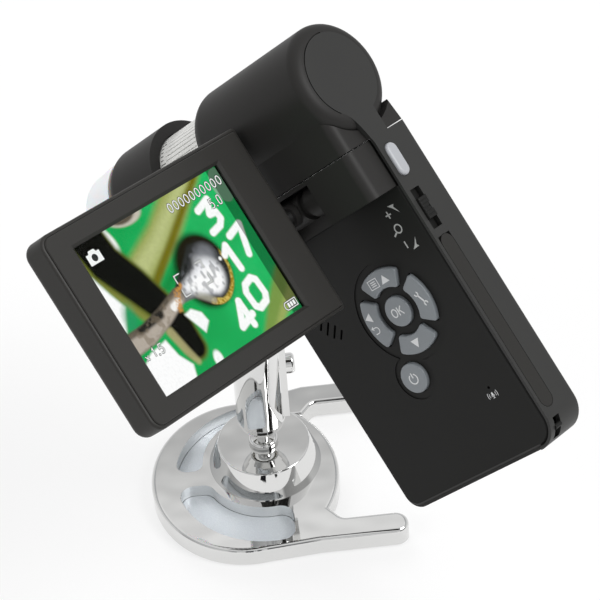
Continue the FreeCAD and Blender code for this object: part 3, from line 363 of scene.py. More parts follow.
# Strokes of each plain figure, as points in a box from -1 to 1 across and up.
FIGURES: dict[str, tuple[tuple[Point, ...], ...]] = {
    "0": (((-0.9, -0.6), (-0.5, -1.0), (0.5, -1.0), (0.9, -0.6), (0.9, 0.6), (0.5, 1.0),
           (-0.5, 1.0), (-0.9, 0.6)),),
    "1": (((-0.6, 0.6), (0.1, 1.0), (0.1, -1.0)),),
    "3": (((-0.9, 1.0), (0.8, 1.0), (0.0, 0.15), (0.8, -0.1), (0.85, -0.7), (0.3, -1.0),
           (-0.9, -0.9)),),
    "4": (((0.9, -0.4), (-0.9, -0.4), (0.4, 1.0)), ((0.4, 1.0), (0.4, -1.0))),
    "5": (((1.0, 1.0), (-0.8, 1.0), (-0.9, 0.15), (0.3, 0.25), (1.0, -0.2), (0.9, -0.7),
           (0.2, -1.0), (-1.0, -0.9)),),
    "7": (((-0.9, 1.0), (0.9, 1.0), (-0.2, -1.0)),),
}
CLOSED_FIGURES = {"0"}

# Solids whose finish differs from that of their slot in the record.
NODE_FINISH: dict[str, str] = {
    "keypad_cover": "lid_black", "zoom_slider": "lid_black", "port_flap": "flap_rubber",
    "strap_bar": "lid_black", "lamps": "lamp_yellow", "lens": "lens_glass",
}


@dataclass(frozen=True)
class Lean:
    """How the microscope's own frame stands in the world."""

    yaw: float = 153.75
    dip: float = 46.25
    roll: float = 21.7
    origin: Place = (30.7, 1.5, 165.4)

    def matrix(self) -> np.ndarray:
        """The turn as three columns: about z by yaw, of y by dip, of x by roll."""
        turn = (Matrix.Rotation(math.radians(self.yaw), 3, "Z")
                @ Matrix.Rotation(math.radians(self.dip), 3, "Y")
                @ Matrix.Rotation(math.radians(self.roll), 3, "X"))
        return np.array(turn)

    def place(self, points: np.ndarray) -> np.ndarray:
        """World places in metres of points in the microscope's frame in millimetres."""
        return (points @ self.matrix().T + np.array(self.origin)) * MM


@dataclass
class Sheet:
    """A flat sheet in the microscope's frame on which signs are drawn.

    A sign's local point (right, up, out) goes to origin + right * right_axis and so on.
    """

    origin: Place
    right_axis: Place
    up_axis: Place
    lean: Lean

    def lift(self, local: np.ndarray) -> np.ndarray:
        """World places of points of the sheet.

        Args:
            local: right, up and out of each point, in millimetres.

        Returns:
            Their places in metres.
        """
        right = np.array(self.right_axis, float)
        up = np.array(self.up_axis, float)
        axes = np.stack([right, up, np.cross(right, up)])
        return self.lean.place(local @ axes + np.array(self.origin))


class Drawing:
    """Thin raised signs gathered into one mesh: strokes along paths and filled outlines."""

    def __init__(self, low: float, high: float) -> None:
        """Starts an empty drawing.

        Args:
            low, high: heights over its sheet between which it lies, in millimetres.
        """
        self.low = low
        self.high = high
        self.points: list[np.ndarray] = []
        self.faces: list[tuple[int, ...]] = []
        self.count = 0

    def _add(self, points: np.ndarray, faces: Sequence[Sequence[int]]) -> None:
        """Adds points and the faces between them.

        Args:
            points: right, up and out of each point.
            faces: corner numbers of each face, counted from the first new point.
        """
        self.faces += [tuple(int(corner) + self.count for corner in face) for face in faces]
        self.points.append(points)
        self.count += len(points)

    def fill(self, outline: Sequence[Point]) -> None:
        """A filled outline with straight edges, pushed from the low to the high level.

        Args:
            outline: corners in order; turned round if they run clockwise.
        """
        flat = np.array(outline, float)
        ahead = np.roll(flat, -1, axis=0)
        if (flat[:, 0] * ahead[:, 1] - flat[:, 1] * ahead[:, 0]).sum() < 0:
            flat = flat[::-1]
        count = len(flat)
        base = np.column_stack([flat, np.full(count, self.low)])
        top = np.column_stack([flat, np.full(count, self.high)])
        ring = np.arange(count)
        following = np.roll(ring, -1)
        sides = np.column_stack([ring, following, following + count, ring + count])
        faces = [tuple(ring + count), tuple(ring[::-1]), *map(tuple, sides)]
        self._add(np.concatenate([base, top]), faces)

    def stroke(self, path: Sequence[Point], width: float, closed: bool = False) -> None:
        """A line of even width along a path: a box section carried along its points.

        Each point is shifted both ways along the mean normal of its two runs, by half the
        width over the cosine of half the bend.

        Args:
            path: the points of the line's middle.
            width: the line's width in millimetres.
            closed: whether the last point joins the first.
        """
        line = np.array(path, float)
        runs = np.roll(line, -1, axis=0) - line
        runs /= np.linalg.norm(runs, axis=1, keepdims=True) + 1e-12
        before = np.roll(runs, 1, axis=0)
        if not closed:
            runs[-1] = before[-1]
            before[0] = runs[0]
        mean = runs + before
        mean /= np.linalg.norm(mean, axis=1, keepdims=True)
        normal = np.column_stack([-mean[:, 1], mean[:, 0]])
        stretch = np.clip(np.einsum("ij,ij->i", mean, runs), 0.4, 1.0)[:, None]
        left = line + normal * width / 2 / stretch
        right = line - normal * width / 2 / stretch
        count = len(line)
        levels = (np.full(count, self.low), np.full(count, self.high))
        points = np.concatenate([
            np.column_stack([right, levels[0]]), np.column_stack([left, levels[0]]),
            np.column_stack([left, levels[1]]), np.column_stack([right, levels[1]])])
        start = np.arange(count if closed else count - 1)
        stop = (start + 1) % count
        faces: list[tuple[int, ...]] = []
        for corner in range(4):
            near, far = corner * count, (corner + 1) % 4 * count
            band = np.column_stack([start + near, start + far, stop + far, stop + near])
            faces += [tuple(face[::-1]) for face in band]
        if not closed:
            first = tuple(corner * count for corner in range(4))
            last = tuple(corner * count + count - 1 for corner in range(3, -1, -1))
            faces += [first, last]
        self._add(points, faces)

    def arc(self, centre: Point, radii: Point, angles: Point, width: float) -> None:
        """A stroke along part of an oval, or all of it for a full turn.

        Args:
            centre: the oval's middle.
            radii: its reach to the right and up.
            angles: where the stroke starts and ends, in degrees.
            width: the stroke's width in millimetres.
        """
        full = abs(angles[1] - angles[0]) >= 359.9
        turn = np.radians(np.linspace(angles[0], angles[1], 33))
        turn = turn[:-1] if full else turn
        path = np.column_stack([centre[0] + radii[0] * np.cos(turn),
                                centre[1] + radii[1] * np.sin(turn)])
        self.stroke([tuple(point) for point in path], width, closed=full)

    def disc(self, centre: Point, radii: Point) -> None:
        """A filled oval."""
        turn = np.linspace(0, 2 * np.pi, 32, endpoint=False)
        self.fill([(centre[0] + radii[0] * math.cos(a), centre[1] + radii[1] * math.sin(a))
                   for a in turn])

    def finish(self, name: str, sheet: Sheet, material: bpy.types.Material, body: str) -> None:
        """Lifts the drawing onto its sheet as a piece.

        Args:
            name: the piece's name.
            sheet: where it is drawn.
            material: its finish.
            body: the body that it moves with.
        """
        world = sheet.lift(np.concatenate(self.points))
        turn_outwards(add_piece(name, world, self.faces, material, body))


def add_piece(name: str, points: np.ndarray, faces: Sequence[Sequence[int]],
              material: bpy.types.Material, body: str, smooth: bool = False) -> bpy.types.Object:
    """Makes a mesh object at the world's origin that rides on a body.

    Args:
        name: the piece's name.
        points: corner places in metres.
        faces: corner numbers of each face.
        material: its finish.
        body: the body that it moves with.
        smooth: whether its faces are shaded as one curved surface.

    Returns:
        The new object.
    """
    mesh = bpy.data.meshes.new(name)
    mesh.from_pydata(points.tolist(), [], [tuple(int(c) for c in face) for face in faces])
    mesh.polygons.foreach_set("use_smooth", np.full(len(mesh.polygons), smooth))
    mesh.materials.append(material)
    mesh.update()
    piece = bpy.data.objects.new(name, mesh)
    bpy.context.scene.collection.objects.link(piece)
    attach(piece, body)
    LOG.info("piece %s: %d faces on %s", name, len(mesh.polygons), body)
    return piece


@dataclass
class KeySigns:
    """White signs on the grey keys and grey ones on the black lid beside the zoom slider."""

    lean: Lean
    finishes: dict[str, bpy.types.Material]
    key_top: float = 4.2
    lid_top: float = 3.3
    dial: Point = (26.0, -64.7)
    power: Point = (34.6, -83.4)
    sound: Point = (12.7, -98.1)
    sink: float = 0.02
    proud: float = 0.03
    line: float = 0.36

    def _sheet(self, centre: Point, height: float) -> Sheet:
        """A sheet on the keypad side, whose right runs against x and whose up is z."""
        return Sheet((centre[0], height, centre[1]), (-1.0, 0.0, 0.0), (0.0, 0.0, 1.0), self.lean)

    def build(self) -> None:
        """Draws every sign and sets each on the key or lid that carries it."""
        dial = (self.dial, self.key_top, "print_white")
        rows = (
            ("ok_key_sign", self._ok, *dial, "ok_key"),
            ("up_key_sign", self._up, *dial, "up_key"),
            ("down_key_sign", self._down, *dial, "down_key"),
            ("forward_key_sign", self._forward, *dial, "forward_key"),
            ("menu_key_sign", self._menu, *dial, "menu_key"),
            ("power_key_sign", self._power, self.power, self.key_top, "print_white", "power_key"),
            ("zoom_guide", self._zoom_guide, (0.0, 0.0), self.lid_top, "print_grey", "microscope"),
            ("sound_sign", self._sound_sign, self.sound, self.lid_top, "print_white",
             "microscope"))
        for name, draw, centre, height, finish, body in rows:
            drawing = Drawing(-self.sink, self.proud)
            draw(drawing)
            drawing.finish(name, self._sheet(centre, height), self.finishes[finish], body)

    def _ok(self, drawing: Drawing) -> None:
        """The letters O and K.

        Args:
            drawing: takes the strokes.
        """
        drawing.arc((-1.3, 0.0), (0.95, 1.2), (0, 360), self.line)
        drawing.stroke([(0.35, -1.3), (0.35, 1.3)], self.line)
        drawing.stroke([(0.5, -0.15), (1.95, 1.25)], self.line)
        drawing.stroke([(0.9, 0.3), (2.05, -1.3)], self.line)

    def _up(self, drawing: Drawing) -> None:
        """A boxed list of three bars, and a triangle that points up.

        Args:
            drawing: takes the strokes.
        """
        cx, cy, half_wide, half_high = -2.3, 10.1, 1.75, 1.35
        drawing.stroke([(cx - half_wide, cy - half_high), (cx + half_wide, cy - half_high),
                        (cx + half_wide, cy + half_high), (cx - half_wide, cy + half_high)],
                       0.24, closed=True)
        for step in (-0.62, 0.0, 0.62):
            drawing.stroke([(cx - 0.95, cy + step), (cx + 0.95, cy + step)], 0.3)
        drawing.fill([(0.65, 8.75), (3.85, 8.85), (2.2, 11.25)])

    def _down(self, drawing: Drawing) -> None:
        """A triangle that points down."""
        drawing.fill([(-1.85, -9.1), (1.3, -9.05), (-0.25, -11.65)])

    def _forward(self, drawing: Drawing) -> None:
        """A triangle that points away from the rear, over a return arrow.

        Args:
            drawing: takes the strokes.
        """
        drawing.fill([(-10.0, 3.75), (-10.05, 0.85), (-12.45, 2.4)])
        turn = np.radians(np.linspace(90, -90, 13))
        bend = [(-10.6 + 0.85 * math.cos(a), -1.75 + 0.95 * math.sin(a)) for a in turn]
        drawing.stroke([(-11.8, -0.8), *bend, (-11.7, -2.7)], 0.28)
        drawing.fill([(-12.5, -0.8), (-11.5, -0.15), (-11.5, -1.45)])

    def _menu(self, drawing: Drawing) -> None:
        """A wrench: a bar between two forked ends.

        Args:
            drawing: takes the strokes.
        """
        ends = ((9.75, 1.45), (11.1, -1.45))
        drawing.stroke([ends[0], ends[1]], 0.5)
        lean = math.degrees(math.atan2(ends[0][1] - ends[1][1], ends[0][0] - ends[1][0]))
        for (x, y), turn in ((ends[0], lean), (ends[1], lean + 180)):
            centre = (x + 0.35 * math.cos(math.radians(turn)),
                      y + 0.35 * math.sin(math.radians(turn)))
            drawing.arc(centre, (0.62, 0.62), (turn + 55, turn + 305), 0.42)

    def _power(self, drawing: Drawing) -> None:
        """A ring with a gap at the top and a bar in it."""
        drawing.arc((0.0, -0.15), (1.5, 1.5), (118, 422), self.line)
        drawing.stroke([(0.0, 0.1), (0.0, 1.75)], self.line)

    def _zoom_guide(self, drawing: Drawing) -> None:
        """Two swept arrows, a plus, a bar and a magnifying glass beside the zoom slider.

        Args:
            drawing: takes the strokes.
        """
        middle = -44.9
        for way in (1, -1):
            drawing.fill([(x, middle + way * z) for x, z in (
                (-8.9, 7.0), (-7.6, 5.95), (-5.9, 3.95), (-6.95, 6.1), (-6.35, 6.8))])
        x, z, half, bar = -10.2, -40.1, 1.1, 0.42
        drawing.stroke([(x - half, z), (x + half, z)], bar)
        drawing.stroke([(x, z - half), (x, z + half)], bar)
        drawing.stroke([(-10.4, -50.75), (-10.4, -48.6)], bar)
        drawing.arc((-9.75, -44.7), (1.25, 1.25), (0, 360), 0.4)
        drawing.stroke([(-10.75, -45.35), (-12.4, -46.2)], 0.5)

    def _sound_sign(self, drawing: Drawing) -> None:
        """A small microphone between two pairs of sound waves.

        Args:
            drawing: takes the strokes.
        """
        drawing.disc((0.0, 0.3), (0.34, 0.62))
        drawing.arc((0.0, 0.2), (0.62, 0.72), (190, 350), 0.14)
        drawing.stroke([(0.0, -0.5), (0.0, -0.9)], 0.14)
        drawing.stroke([(-0.4, -0.9), (0.4, -0.9)], 0.14)
        for reach in (1.25, 1.9):
            drawing.arc((0.0, 0.1), (reach, reach), (-28, 28), 0.16)
            drawing.arc((0.0, 0.1), (reach, reach), (152, 208), 0.16)


@dataclass
class FocusScale:
    """Black marks on the smooth front of the focus ring, beside the collar."""

    lean: Lean
    finishes: dict[str, bpy.types.Material]
    radius: float = 12.6
    front: float = 68.7
    long_mark: float = 2.0
    short_mark: float = 1.2
    half_wide: float = 0.13
    marks: int = 60
    marks_to_long: int = 5
    sink: float = 0.05
    proud: float = 0.03

    def build(self) -> None:
        """Lays thin bars round the ring.

        A mark is a box whose corners lie on two radii: x = front end - length, and y and z
        are the radius times the cosine and sine of the mark's angle.
        """
        step = np.arange(self.marks)
        length = np.where(step % self.marks_to_long == 0, self.long_mark, self.short_mark)
        angle = step * 2 * np.pi / self.marks
        half = self.half_wide / self.radius
        corner = np.array([(0, -1, 0), (1, -1, 0), (1, 1, 0), (0, 1, 0),
                           (0, -1, 1), (1, -1, 1), (1, 1, 1), (0, 1, 1)], float)
        turn = angle[:, None] + corner[None, :, 1] * half
        reach = self.radius - self.sink + corner[None, :, 2] * (self.sink + self.proud)
        x = self.front - length[:, None] * corner[None, :, 0]
        points = np.stack([x, reach * np.cos(turn), reach * np.sin(turn)], axis=-1)
        quads = np.array([(0, 1, 2, 3), (4, 7, 6, 5), (0, 4, 5, 1),
                          (1, 5, 6, 2), (2, 6, 7, 3), (3, 7, 4, 0)])
        faces = (quads[None] + (step * 8)[:, None, None]).reshape(-1, 4)
        turn_outwards(add_piece("focus_scale", self.lean.place(points.reshape(-1, 3)), faces,
                                self.finishes["print_black"], "focus_ring"))


def turn_outwards(piece: bpy.types.Object) -> None:
    """Makes the faces of closed pieces point away from their inside.

    Args:
        piece: a mesh object of closed shells.
    """
    work = bmesh.new()
    work.from_mesh(piece.data)
    bmesh.ops.recalc_face_normals(work, faces=work.faces)
    work.to_mesh(piece.data)
    work.free()


class Field:
    """Soft-edged masks over the display, as whole arrays.

    across runs from 0 at the left edge to 4/3 at the right, down from 0 at the top to 1, so
    both have the same scale. A mask is 1 inside a form and 0 outside, with a smooth step
    between, as wide as its softness.
    """

    def __init__(self, across: np.ndarray, down: np.ndarray, seed: int = 11) -> None:
        """Keeps the coordinates of every point.

        Args:
            across, down: the two coordinates, as arrays of one shape.
            seed: starts the random values of the clouds.
        """
        self.across = across
        self.down = down
        self.source = np.random.default_rng(seed)

    def step(self, distance: np.ndarray, soft: float) -> np.ndarray:
        """1 where a signed distance is well below 0, 0 where it is well above."""
        part = np.clip(0.5 - distance / max(soft, 1e-4), 0, 1)
        return part * part * (3 - 2 * part)

    def near(self, a: Point, b: Point) -> tuple[np.ndarray, np.ndarray]:
        """Finds the nearest place on a run.

        Args:
            a, b: the run's two ends, in the field's own scale.

        Returns:
            How far along the run it lies, from 0 to 1, and the distance to it.
        """
        (ax, ay), (bx, by) = a, b
        run = (bx - ax) ** 2 + (by - ay) ** 2
        along = ((self.across - ax) * (bx - ax) + (self.down - ay) * (by - ay)) / run
        along = np.clip(along, 0, 1)
        gap = np.hypot(self.across - ax - along * (bx - ax), self.down - ay - along * (by - ay))
        return along, gap

    def far(self, a: Point, b: Point, wide: Point) -> np.ndarray:
        """Distance outside a tapered bar from a to b, whose half width runs wide[0] to [1]."""
        along, gap = self.near((a[0] * 4 / 3, a[1]), (b[0] * 4 / 3, b[1]))
        return gap - (wide[0] + (wide[1] - wide[0]) * along)

    def chain(self, path: Sequence[Point], widths: Sequence[float], soft: float) -> np.ndarray:
        """A bent bar: the least distance outside its tapered runs.

        Args:
            path: the points of its middle.
            widths: its half width at each.
            soft: the softness of its edge.

        Returns:
            Its mask.
        """
        runs = [self.far(path[i], path[i + 1], (widths[i], widths[i + 1]))
                for i in range(len(path) - 1)]
        return self.step(np.min(runs, axis=0), soft)

    def oval(self, centre: Point, radii: Point, turn: float, soft: float) -> np.ndarray:
        """A turned oval: the scaled radius less 1, times the smaller radius.

        Args:
            centre: its middle.
            radii: its two radii.
            turn: how far it is turned, in degrees.
            soft: the softness of its edge.

        Returns:
            Its mask.
        """
        dx, dy = self.across - centre[0] * 4 / 3, self.down - centre[1]
        c, s = math.cos(math.radians(turn)), math.sin(math.radians(turn))
        reach = np.hypot((dx * c + dy * s) / radii[0], (dy * c - dx * s) / radii[1])
        return self.step((reach - 1) * min(radii), soft)

    def shape(self, outline: Sequence[Point], soft: float) -> np.ndarray:
        """A many-cornered form: least distance to its edges, signed by crossings.

        Args:
            outline: its corners in order.
            soft: the softness of its edge.

        Returns:
            Its mask.
        """
        corners = [(x * 4 / 3, y) for x, y in outline]
        gap = np.full(self.across.shape, 9.0)
        inside = np.zeros(self.across.shape, bool)
        for (ax, ay), (bx, by) in zip(corners, corners[1:] + corners[:1]):
            gap = np.minimum(gap, self.near((ax, ay), (bx, by))[1])
            crosses = (ay > self.down) != (by > self.down)
            with np.errstate(divide="ignore", invalid="ignore"):
                edge = (bx - ax) * (self.down - ay) / (by - ay) + ax
            inside ^= crosses & (self.across < edge)
        return self.step(np.where(inside, -gap, gap), soft)

    def clouds(self, cells: int) -> np.ndarray:
        """Smooth noise: random values on a coarse grid, joined by smooth steps.

        Args:
            cells: how many cells of the grid lie one above another.

        Returns:
            The noise, between 0 and 1.
        """
        grid = self.source.random((cells + 2, cells * 2 + 2))
        x = np.clip(self.across, 0, 4 / 3) * cells * 1.4
        y = np.clip(self.down, 0, 1) * cells * 0.99
        column, row = x.astype(int), y.astype(int)
        fx, fy = x - column, y - row
        fx, fy = fx * fx * (3 - 2 * fx), fy * fy * (3 - 2 * fy)
        top = grid[row, column] * (1 - fx) + grid[row, column + 1] * fx
        low = grid[row + 1, column] * (1 - fx) + grid[row + 1, column + 1] * fx
        return top * (1 - fy) + low * fy


@dataclass
class Display:
    """The lit picture behind the glass: a plain macro view of a soldered circuit board."""

    lean: Lean
    finishes: dict[str, bpy.types.Material]
    glow: bpy.types.Material
    front: float = 29.96
    thick: float = 0.05
    outer_edge: float = 92.5
    top_edge: float = -3.15
    wide: float = 61.0
    high: float = 45.7
    columns: int = 300
    rows: int = 225
    edge: float = 0.34

    def build(self) -> None:
        """Makes the picture's slab and the signs over it."""
        self._slab()
        self._overlays()

    def _slab(self) -> None:
        """A closed slab whose front is a fine grid that carries the picture.

        A grid point (u, v) lies at y = outer_edge - u * wide and z = top_edge - v * high.
        """
        u, v = np.meshgrid(np.linspace(0, 1, self.columns), np.linspace(0, 1, self.rows))
        front = self._points(u.ravel(), v.ravel(), self.front)
        number = np.arange(self.columns * self.rows).reshape(self.rows, self.columns)
        quads = np.stack([number[:-1, :-1], number[1:, :-1], number[1:, 1:], number[:-1, 1:]],
                         axis=-1).reshape(-1, 4)
        rim = np.concatenate([number[0, :-1], number[:-1, -1], number[-1, :0:-1],
                              number[:0:-1, 0]])
        count = len(front)
        back = self._points(u.ravel()[rim], v.ravel()[rim], self.front + self.thick)
        ring = count + np.arange(len(rim))
        sides = np.column_stack([rim, np.roll(rim, -1), np.roll(ring, -1), ring])
        faces = [*quads.tolist(), *sides.tolist(), ring[::-1].tolist()]
        world = self.lean.place(np.concatenate([front, back]))
        piece = add_piece("display_picture", world, faces, self.glow, "screen")
        turn_outwards(piece)
        self._paint(piece, u, v, rim)

    def _points(self, u: np.ndarray, v: np.ndarray, x: float) -> np.ndarray:
        """Places in the microscope's frame of picture coordinates at a depth x."""
        return np.column_stack([np.full(len(u), x), self.outer_edge - u * self.wide,
                                self.top_edge - v * self.high])

    def _paint(self, piece: bpy.types.Object, u: np.ndarray, v: np.ndarray,
               rim: np.ndarray) -> None:
        """Stores the picture's colour and its flat coordinates on the mesh.

        Args:
            piece: the slab.
            u, v: picture coordinates of the front's points.
            rim: the numbers of the points round the front, which the back repeats.
        """
        colour = self._picture(u, v).reshape(-1, 3)
        colour = np.concatenate([colour, colour[rim]])
        full = np.column_stack([colour, np.ones(len(colour))]).astype(np.float32)
        mesh = piece.data
        attribute = mesh.attributes.new("picture", "FLOAT_COLOR", "POINT")
        attribute.data.foreach_set("color", full.ravel())
        flat = np.column_stack([u.ravel(), 1 - v.ravel()])
        flat = np.concatenate([flat, flat[rim]]).astype(np.float32)
        corner = np.zeros(len(mesh.loops), np.int32)
        mesh.loops.foreach_get("vertex_index", corner)
        layer = mesh.uv_layers.new(name="screen")
        layer.data.foreach_set("uv", flat[corner].ravel())

    def _picture(self, u: np.ndarray, v: np.ndarray) -> np.ndarray:
        """The picture's linear colours, painted from back to front.

        Each form is a mask, and the colour so far moves towards the form's colour by it.

        Args:
            u, v: picture coordinates, right and down from 0 to 1.

        Returns:
            A colour for each point.
        """
        field = Field(u * 4 / 3, v)
        clouds, fine, finest = field.clouds(5), field.clouds(34), field.clouds(90)
        canvas = np.zeros((*u.shape, 3))
        shade = (0.25 + 0.55 * u + 0.35 * (clouds - 0.5))[..., None]
        canvas += np.array(linear(0, 148, 66)) * (1 - shade)
        canvas += np.array(linear(38, 190, 104)) * shade

        def lay(mask: np.ndarray, colour: Colour, strength: float = 1.0) -> None:
            """Paints a colour, given from 0 to 255, where a mask is 1."""
            amount = (np.clip(mask, 0, 1) * strength)[..., None]
            canvas[...] = canvas * (1 - amount) + np.array(linear(*colour)) * amount

        lay(field.chain([(0.86, -0.1), (0.50, 0.20), (0.24, 0.33)], [0.10, 0.11, 0.10], 0.07),
            (150, 160, 84))
        lay(field.chain([(0.80, -0.04), (0.44, 0.22), (0.25, 0.32)], [0.035, 0.05, 0.06], 0.09),
            (184, 192, 130))
        lay(field.chain([(0.92, -0.06), (0.52, 0.26), (0.31, 0.42)], [0.02, 0.025, 0.03], 0.04),
            (112, 108, 20))
        lay(field.chain([(0.56, 0.36), (0.30, 0.50)], [0.06, 0.02], 0.10), (0, 120, 44), 0.8)
        lay(field.oval((0.36, -0.03), (0.15, 0.075), 8, 0.02), (196, 190, 176))
        lay(field.oval((0.345, -0.045), (0.12, 0.07), 8, 0.02), (92, 84, 70))
        lay(field.oval((0.195, 0.045), (0.055, 0.115), -20, 0.03), (252, 253, 250))
        lay(field.chain([(0.0, 0.02), (0.09, 0.34), (0.17, 0.56)], [0.05, 0.045, 0.04], 0.05),
            (128, 134, 60))
        band = [(0.095, -0.1), (0.125, 0.16), (0.205, 0.36), (0.27, 0.55), (0.305, 0.72),
                (0.315, 0.85)]
        lay(field.chain(band, [0.145, 0.14, 0.13, 0.112, 0.105, 0.09], 0.045), (88, 96, 30))
        lay(field.chain(band, [0.13, 0.122, 0.112, 0.094, 0.088, 0.070], 0.03), (2, 3, 0))
        lay(field.chain([(0.235, 0.70), (0.26, 0.84), (0.285, 0.93)], [0.03, 0.028, 0.02], 0.03),
            (176, 170, 120), 0.8)
        lay(field.shape([(-0.1, 0.14), (0.015, 0.20), (0.055, 0.34), (0.09, 0.44), (0.06, 0.50),
                         (0.02, 0.57), (-0.1, 0.62)], 0.03), (253, 254, 253))
        lay(field.oval((0.075, 0.52), (0.05, 0.09), 20, 0.06), (40, 150, 100), 0.7)
        lay(field.shape([(-0.1, 0.86), (0.07, 0.745), (0.185, 0.725), (0.205, 0.84),
                         (0.25, 0.93), (0.20, 1.1), (-0.1, 1.1)], 0.022), (255, 255, 255))
        lay(field.shape([(0.36, 0.66), (0.41, 0.65), (0.455, 0.70), (0.465, 0.765),
                         (0.415, 0.815)], 0.02), (250, 252, 250))
        lay(field.oval((0.395, 0.985), (0.035, 0.055), 10, 0.02), (250, 252, 250))
        lay(field.chain([(0.70, 1.08), (0.86, 0.92), (1.02, 0.80)], [0.045, 0.065, 0.10], 0.05),
            (120, 150, 70))
        lay(field.chain([(0.74, 1.08), (0.90, 0.95), (1.02, 0.88)], [0.02, 0.03, 0.05], 0.05),
            (160, 172, 96), 0.8)
        self._solder(field, lay, fine, finest)
        self._wire(field, lay, fine, finest)
        self._board_print(field, lay)
        canvas[...] *= (0.94 + 0.12 * finest)[..., None]
        lay(field.oval((0.975, 0.115), (0.075, 0.115), 0, 0.008), (170, 170, 172), 0.5)
        dim = field.step((0.935 - u) * 4 / 3, 0.006)[..., None]
        return np.clip(canvas * (1 - 0.62 * dim), 0, 1)

    def _solder(self, field: Field, lay: Callable[..., None], fine: np.ndarray,
                finest: np.ndarray) -> None:
        """The drilled hole with its gold edge and the bright teardrop of solder in it.

        Args:
            field: makes the masks.
            lay: paints a colour by a mask.
            fine, finest: two noises for rough edges.
        """
        lay(field.oval((0.600, 0.498), (0.215, 0.24), 12, 0.05), (4, 62, 22), 0.95)
        lay(field.oval((0.606, 0.502), (0.195, 0.222), 12, 0.02), (22, 18, 2))
        gold = field.oval((0.622, 0.520), (0.178, 0.208), 12, 0.012)
        outer = field.step(1.19 - field.across * 0.75 - field.down + 0.06 * fine, 0.06)
        lay(gold * outer, (160, 130, 30))
        lay(gold * outer * field.step(0.5 - finest, 0.2), (236, 216, 120), 0.5)
        drop = [(0.365, 0.565), (0.47, 0.525), (0.602, 0.510)]
        lay(field.chain(drop, [0.035, 0.085, 0.188], 0.02), (40, 42, 40))
        lay(field.chain([(0.40, 0.57), (0.49, 0.545), (0.60, 0.525)], [0.02, 0.06, 0.135], 0.05),
            (150, 152, 154))
        lay(field.chain([(0.50, 0.60), (0.56, 0.68)], [0.03, 0.02], 0.03), (168, 166, 150), 0.8)
        lay(field.oval((0.665, 0.42), (0.07, 0.06), 40, 0.07), (128, 130, 136), 0.8)
        lay(field.chain([(0.46, 0.535), (0.61, 0.545)], [0.03, 0.115], 0.07), (236, 237, 240))
        lay(field.chain([(0.48, 0.54), (0.62, 0.57)], [0.02, 0.08], 0.05), (255, 255, 255))
        rough = field.chain(drop, [0.02, 0.07, 0.16], 0.03) * field.step(fine - 0.38, 0.25)
        lay(rough, (104, 106, 112), 0.55)
        lay(field.oval((0.535, 0.43), (0.055, 0.03), -35, 0.04), (24, 26, 24), 0.8)
        lay(field.oval((0.725, 0.49), (0.012, 0.012), 0, 0.012), (255, 255, 255))

    def _wire(self, field: Field, lay: Callable[..., None], fine: np.ndarray,
              finest: np.ndarray) -> None:
        """The stripped wire that comes in from the left and meets the solder.

        Args:
            field: makes the masks.
            lay: paints a colour by a mask.
            fine, finest: two noises for rough edges.
        """
        path = [(-0.05, 0.655), (0.12, 0.645), (0.25, 0.605), (0.385, 0.545)]
        lay(field.chain(path, [0.075, 0.068, 0.058, 0.05], 0.02), (92, 84, 72))
        lay(field.chain([(x, y + 0.018) for x, y in path], [0.052, 0.046, 0.04, 0.035], 0.03),
            (178, 168, 156))
        lay(field.chain([(0.09, 0.605), (0.24, 0.585)], [0.022, 0.026], 0.03), (36, 34, 30))
        rough = field.chain(path, [0.06, 0.055, 0.05, 0.04], 0.02) * field.step(0.62 - fine, 0.2)
        lay(rough, (120, 108, 90), 0.55)
        lay(field.chain([(0.33, 0.59), (0.375, 0.575)], [0.024, 0.02], 0.02), (246, 244, 240))
        amber = field.chain([(0.355, 0.62), (0.39, 0.53), (0.43, 0.50)], [0.02, 0.022, 0.016],
                            0.02)
        lay(amber * field.step(0.4 - finest, 0.3), (196, 142, 70), 0.9)

    def _board_print(self, field: Field, lay: Callable[..., None]) -> None:
        """White printed numbers of the board in thick strokes, each in its own leaning box.

        Args:
            field: makes the masks.
            lay: paints a colour by a mask.
        """
        for figure, place in (("3", (0.815, 0.245)), ("1", (0.795, 0.525)), ("7", (0.90, 0.47)),
                              ("4", (0.665, 0.855)), ("0", (0.80, 0.775))):
            for path in FIGURES[figure]:
                path = path + path[:1] if figure in CLOSED_FIGURES else path
                points = [(place[0] + 0.052 * (x - 0.1 * y), place[1] - 0.082 * y - 0.02 * x)
                          for x, y in path]
                lay(field.chain(points, [0.024] * len(points), 0.014), (252, 254, 252))

    def _overlays(self) -> None:
        """Signs that the display lays over the picture: white strokes on wider dark ones."""
        sheet = Sheet((self.front, self.outer_edge, self.top_edge), (0.0, -1.0, 0.0),
                      (0.0, 0.0, 1.0), self.lean)
        for name, level, extra, tone in (("display_sign_edges", 0.0, self.edge, "sign_edge"),
                                         ("display_signs", 0.02, 0.0, "sign_glow")):
            drawing = Drawing(level - 0.01, level + 0.012)
            self._draw_signs(drawing, extra)
            drawing.finish(name, sheet, self.finishes[tone], "screen")
        lens = Drawing(0.03, 0.052)
        lens.disc(self._at(0.093, 0.107), (1.05, 1.05))
        lens.finish("display_sign_lens", sheet, self.finishes["sign_edge"], "screen")

    def _at(self, u: float, v: float) -> Point:
        """A place on the sheet, in millimetres right and up of its top left corner."""
        return u * self.wide, -v * self.high

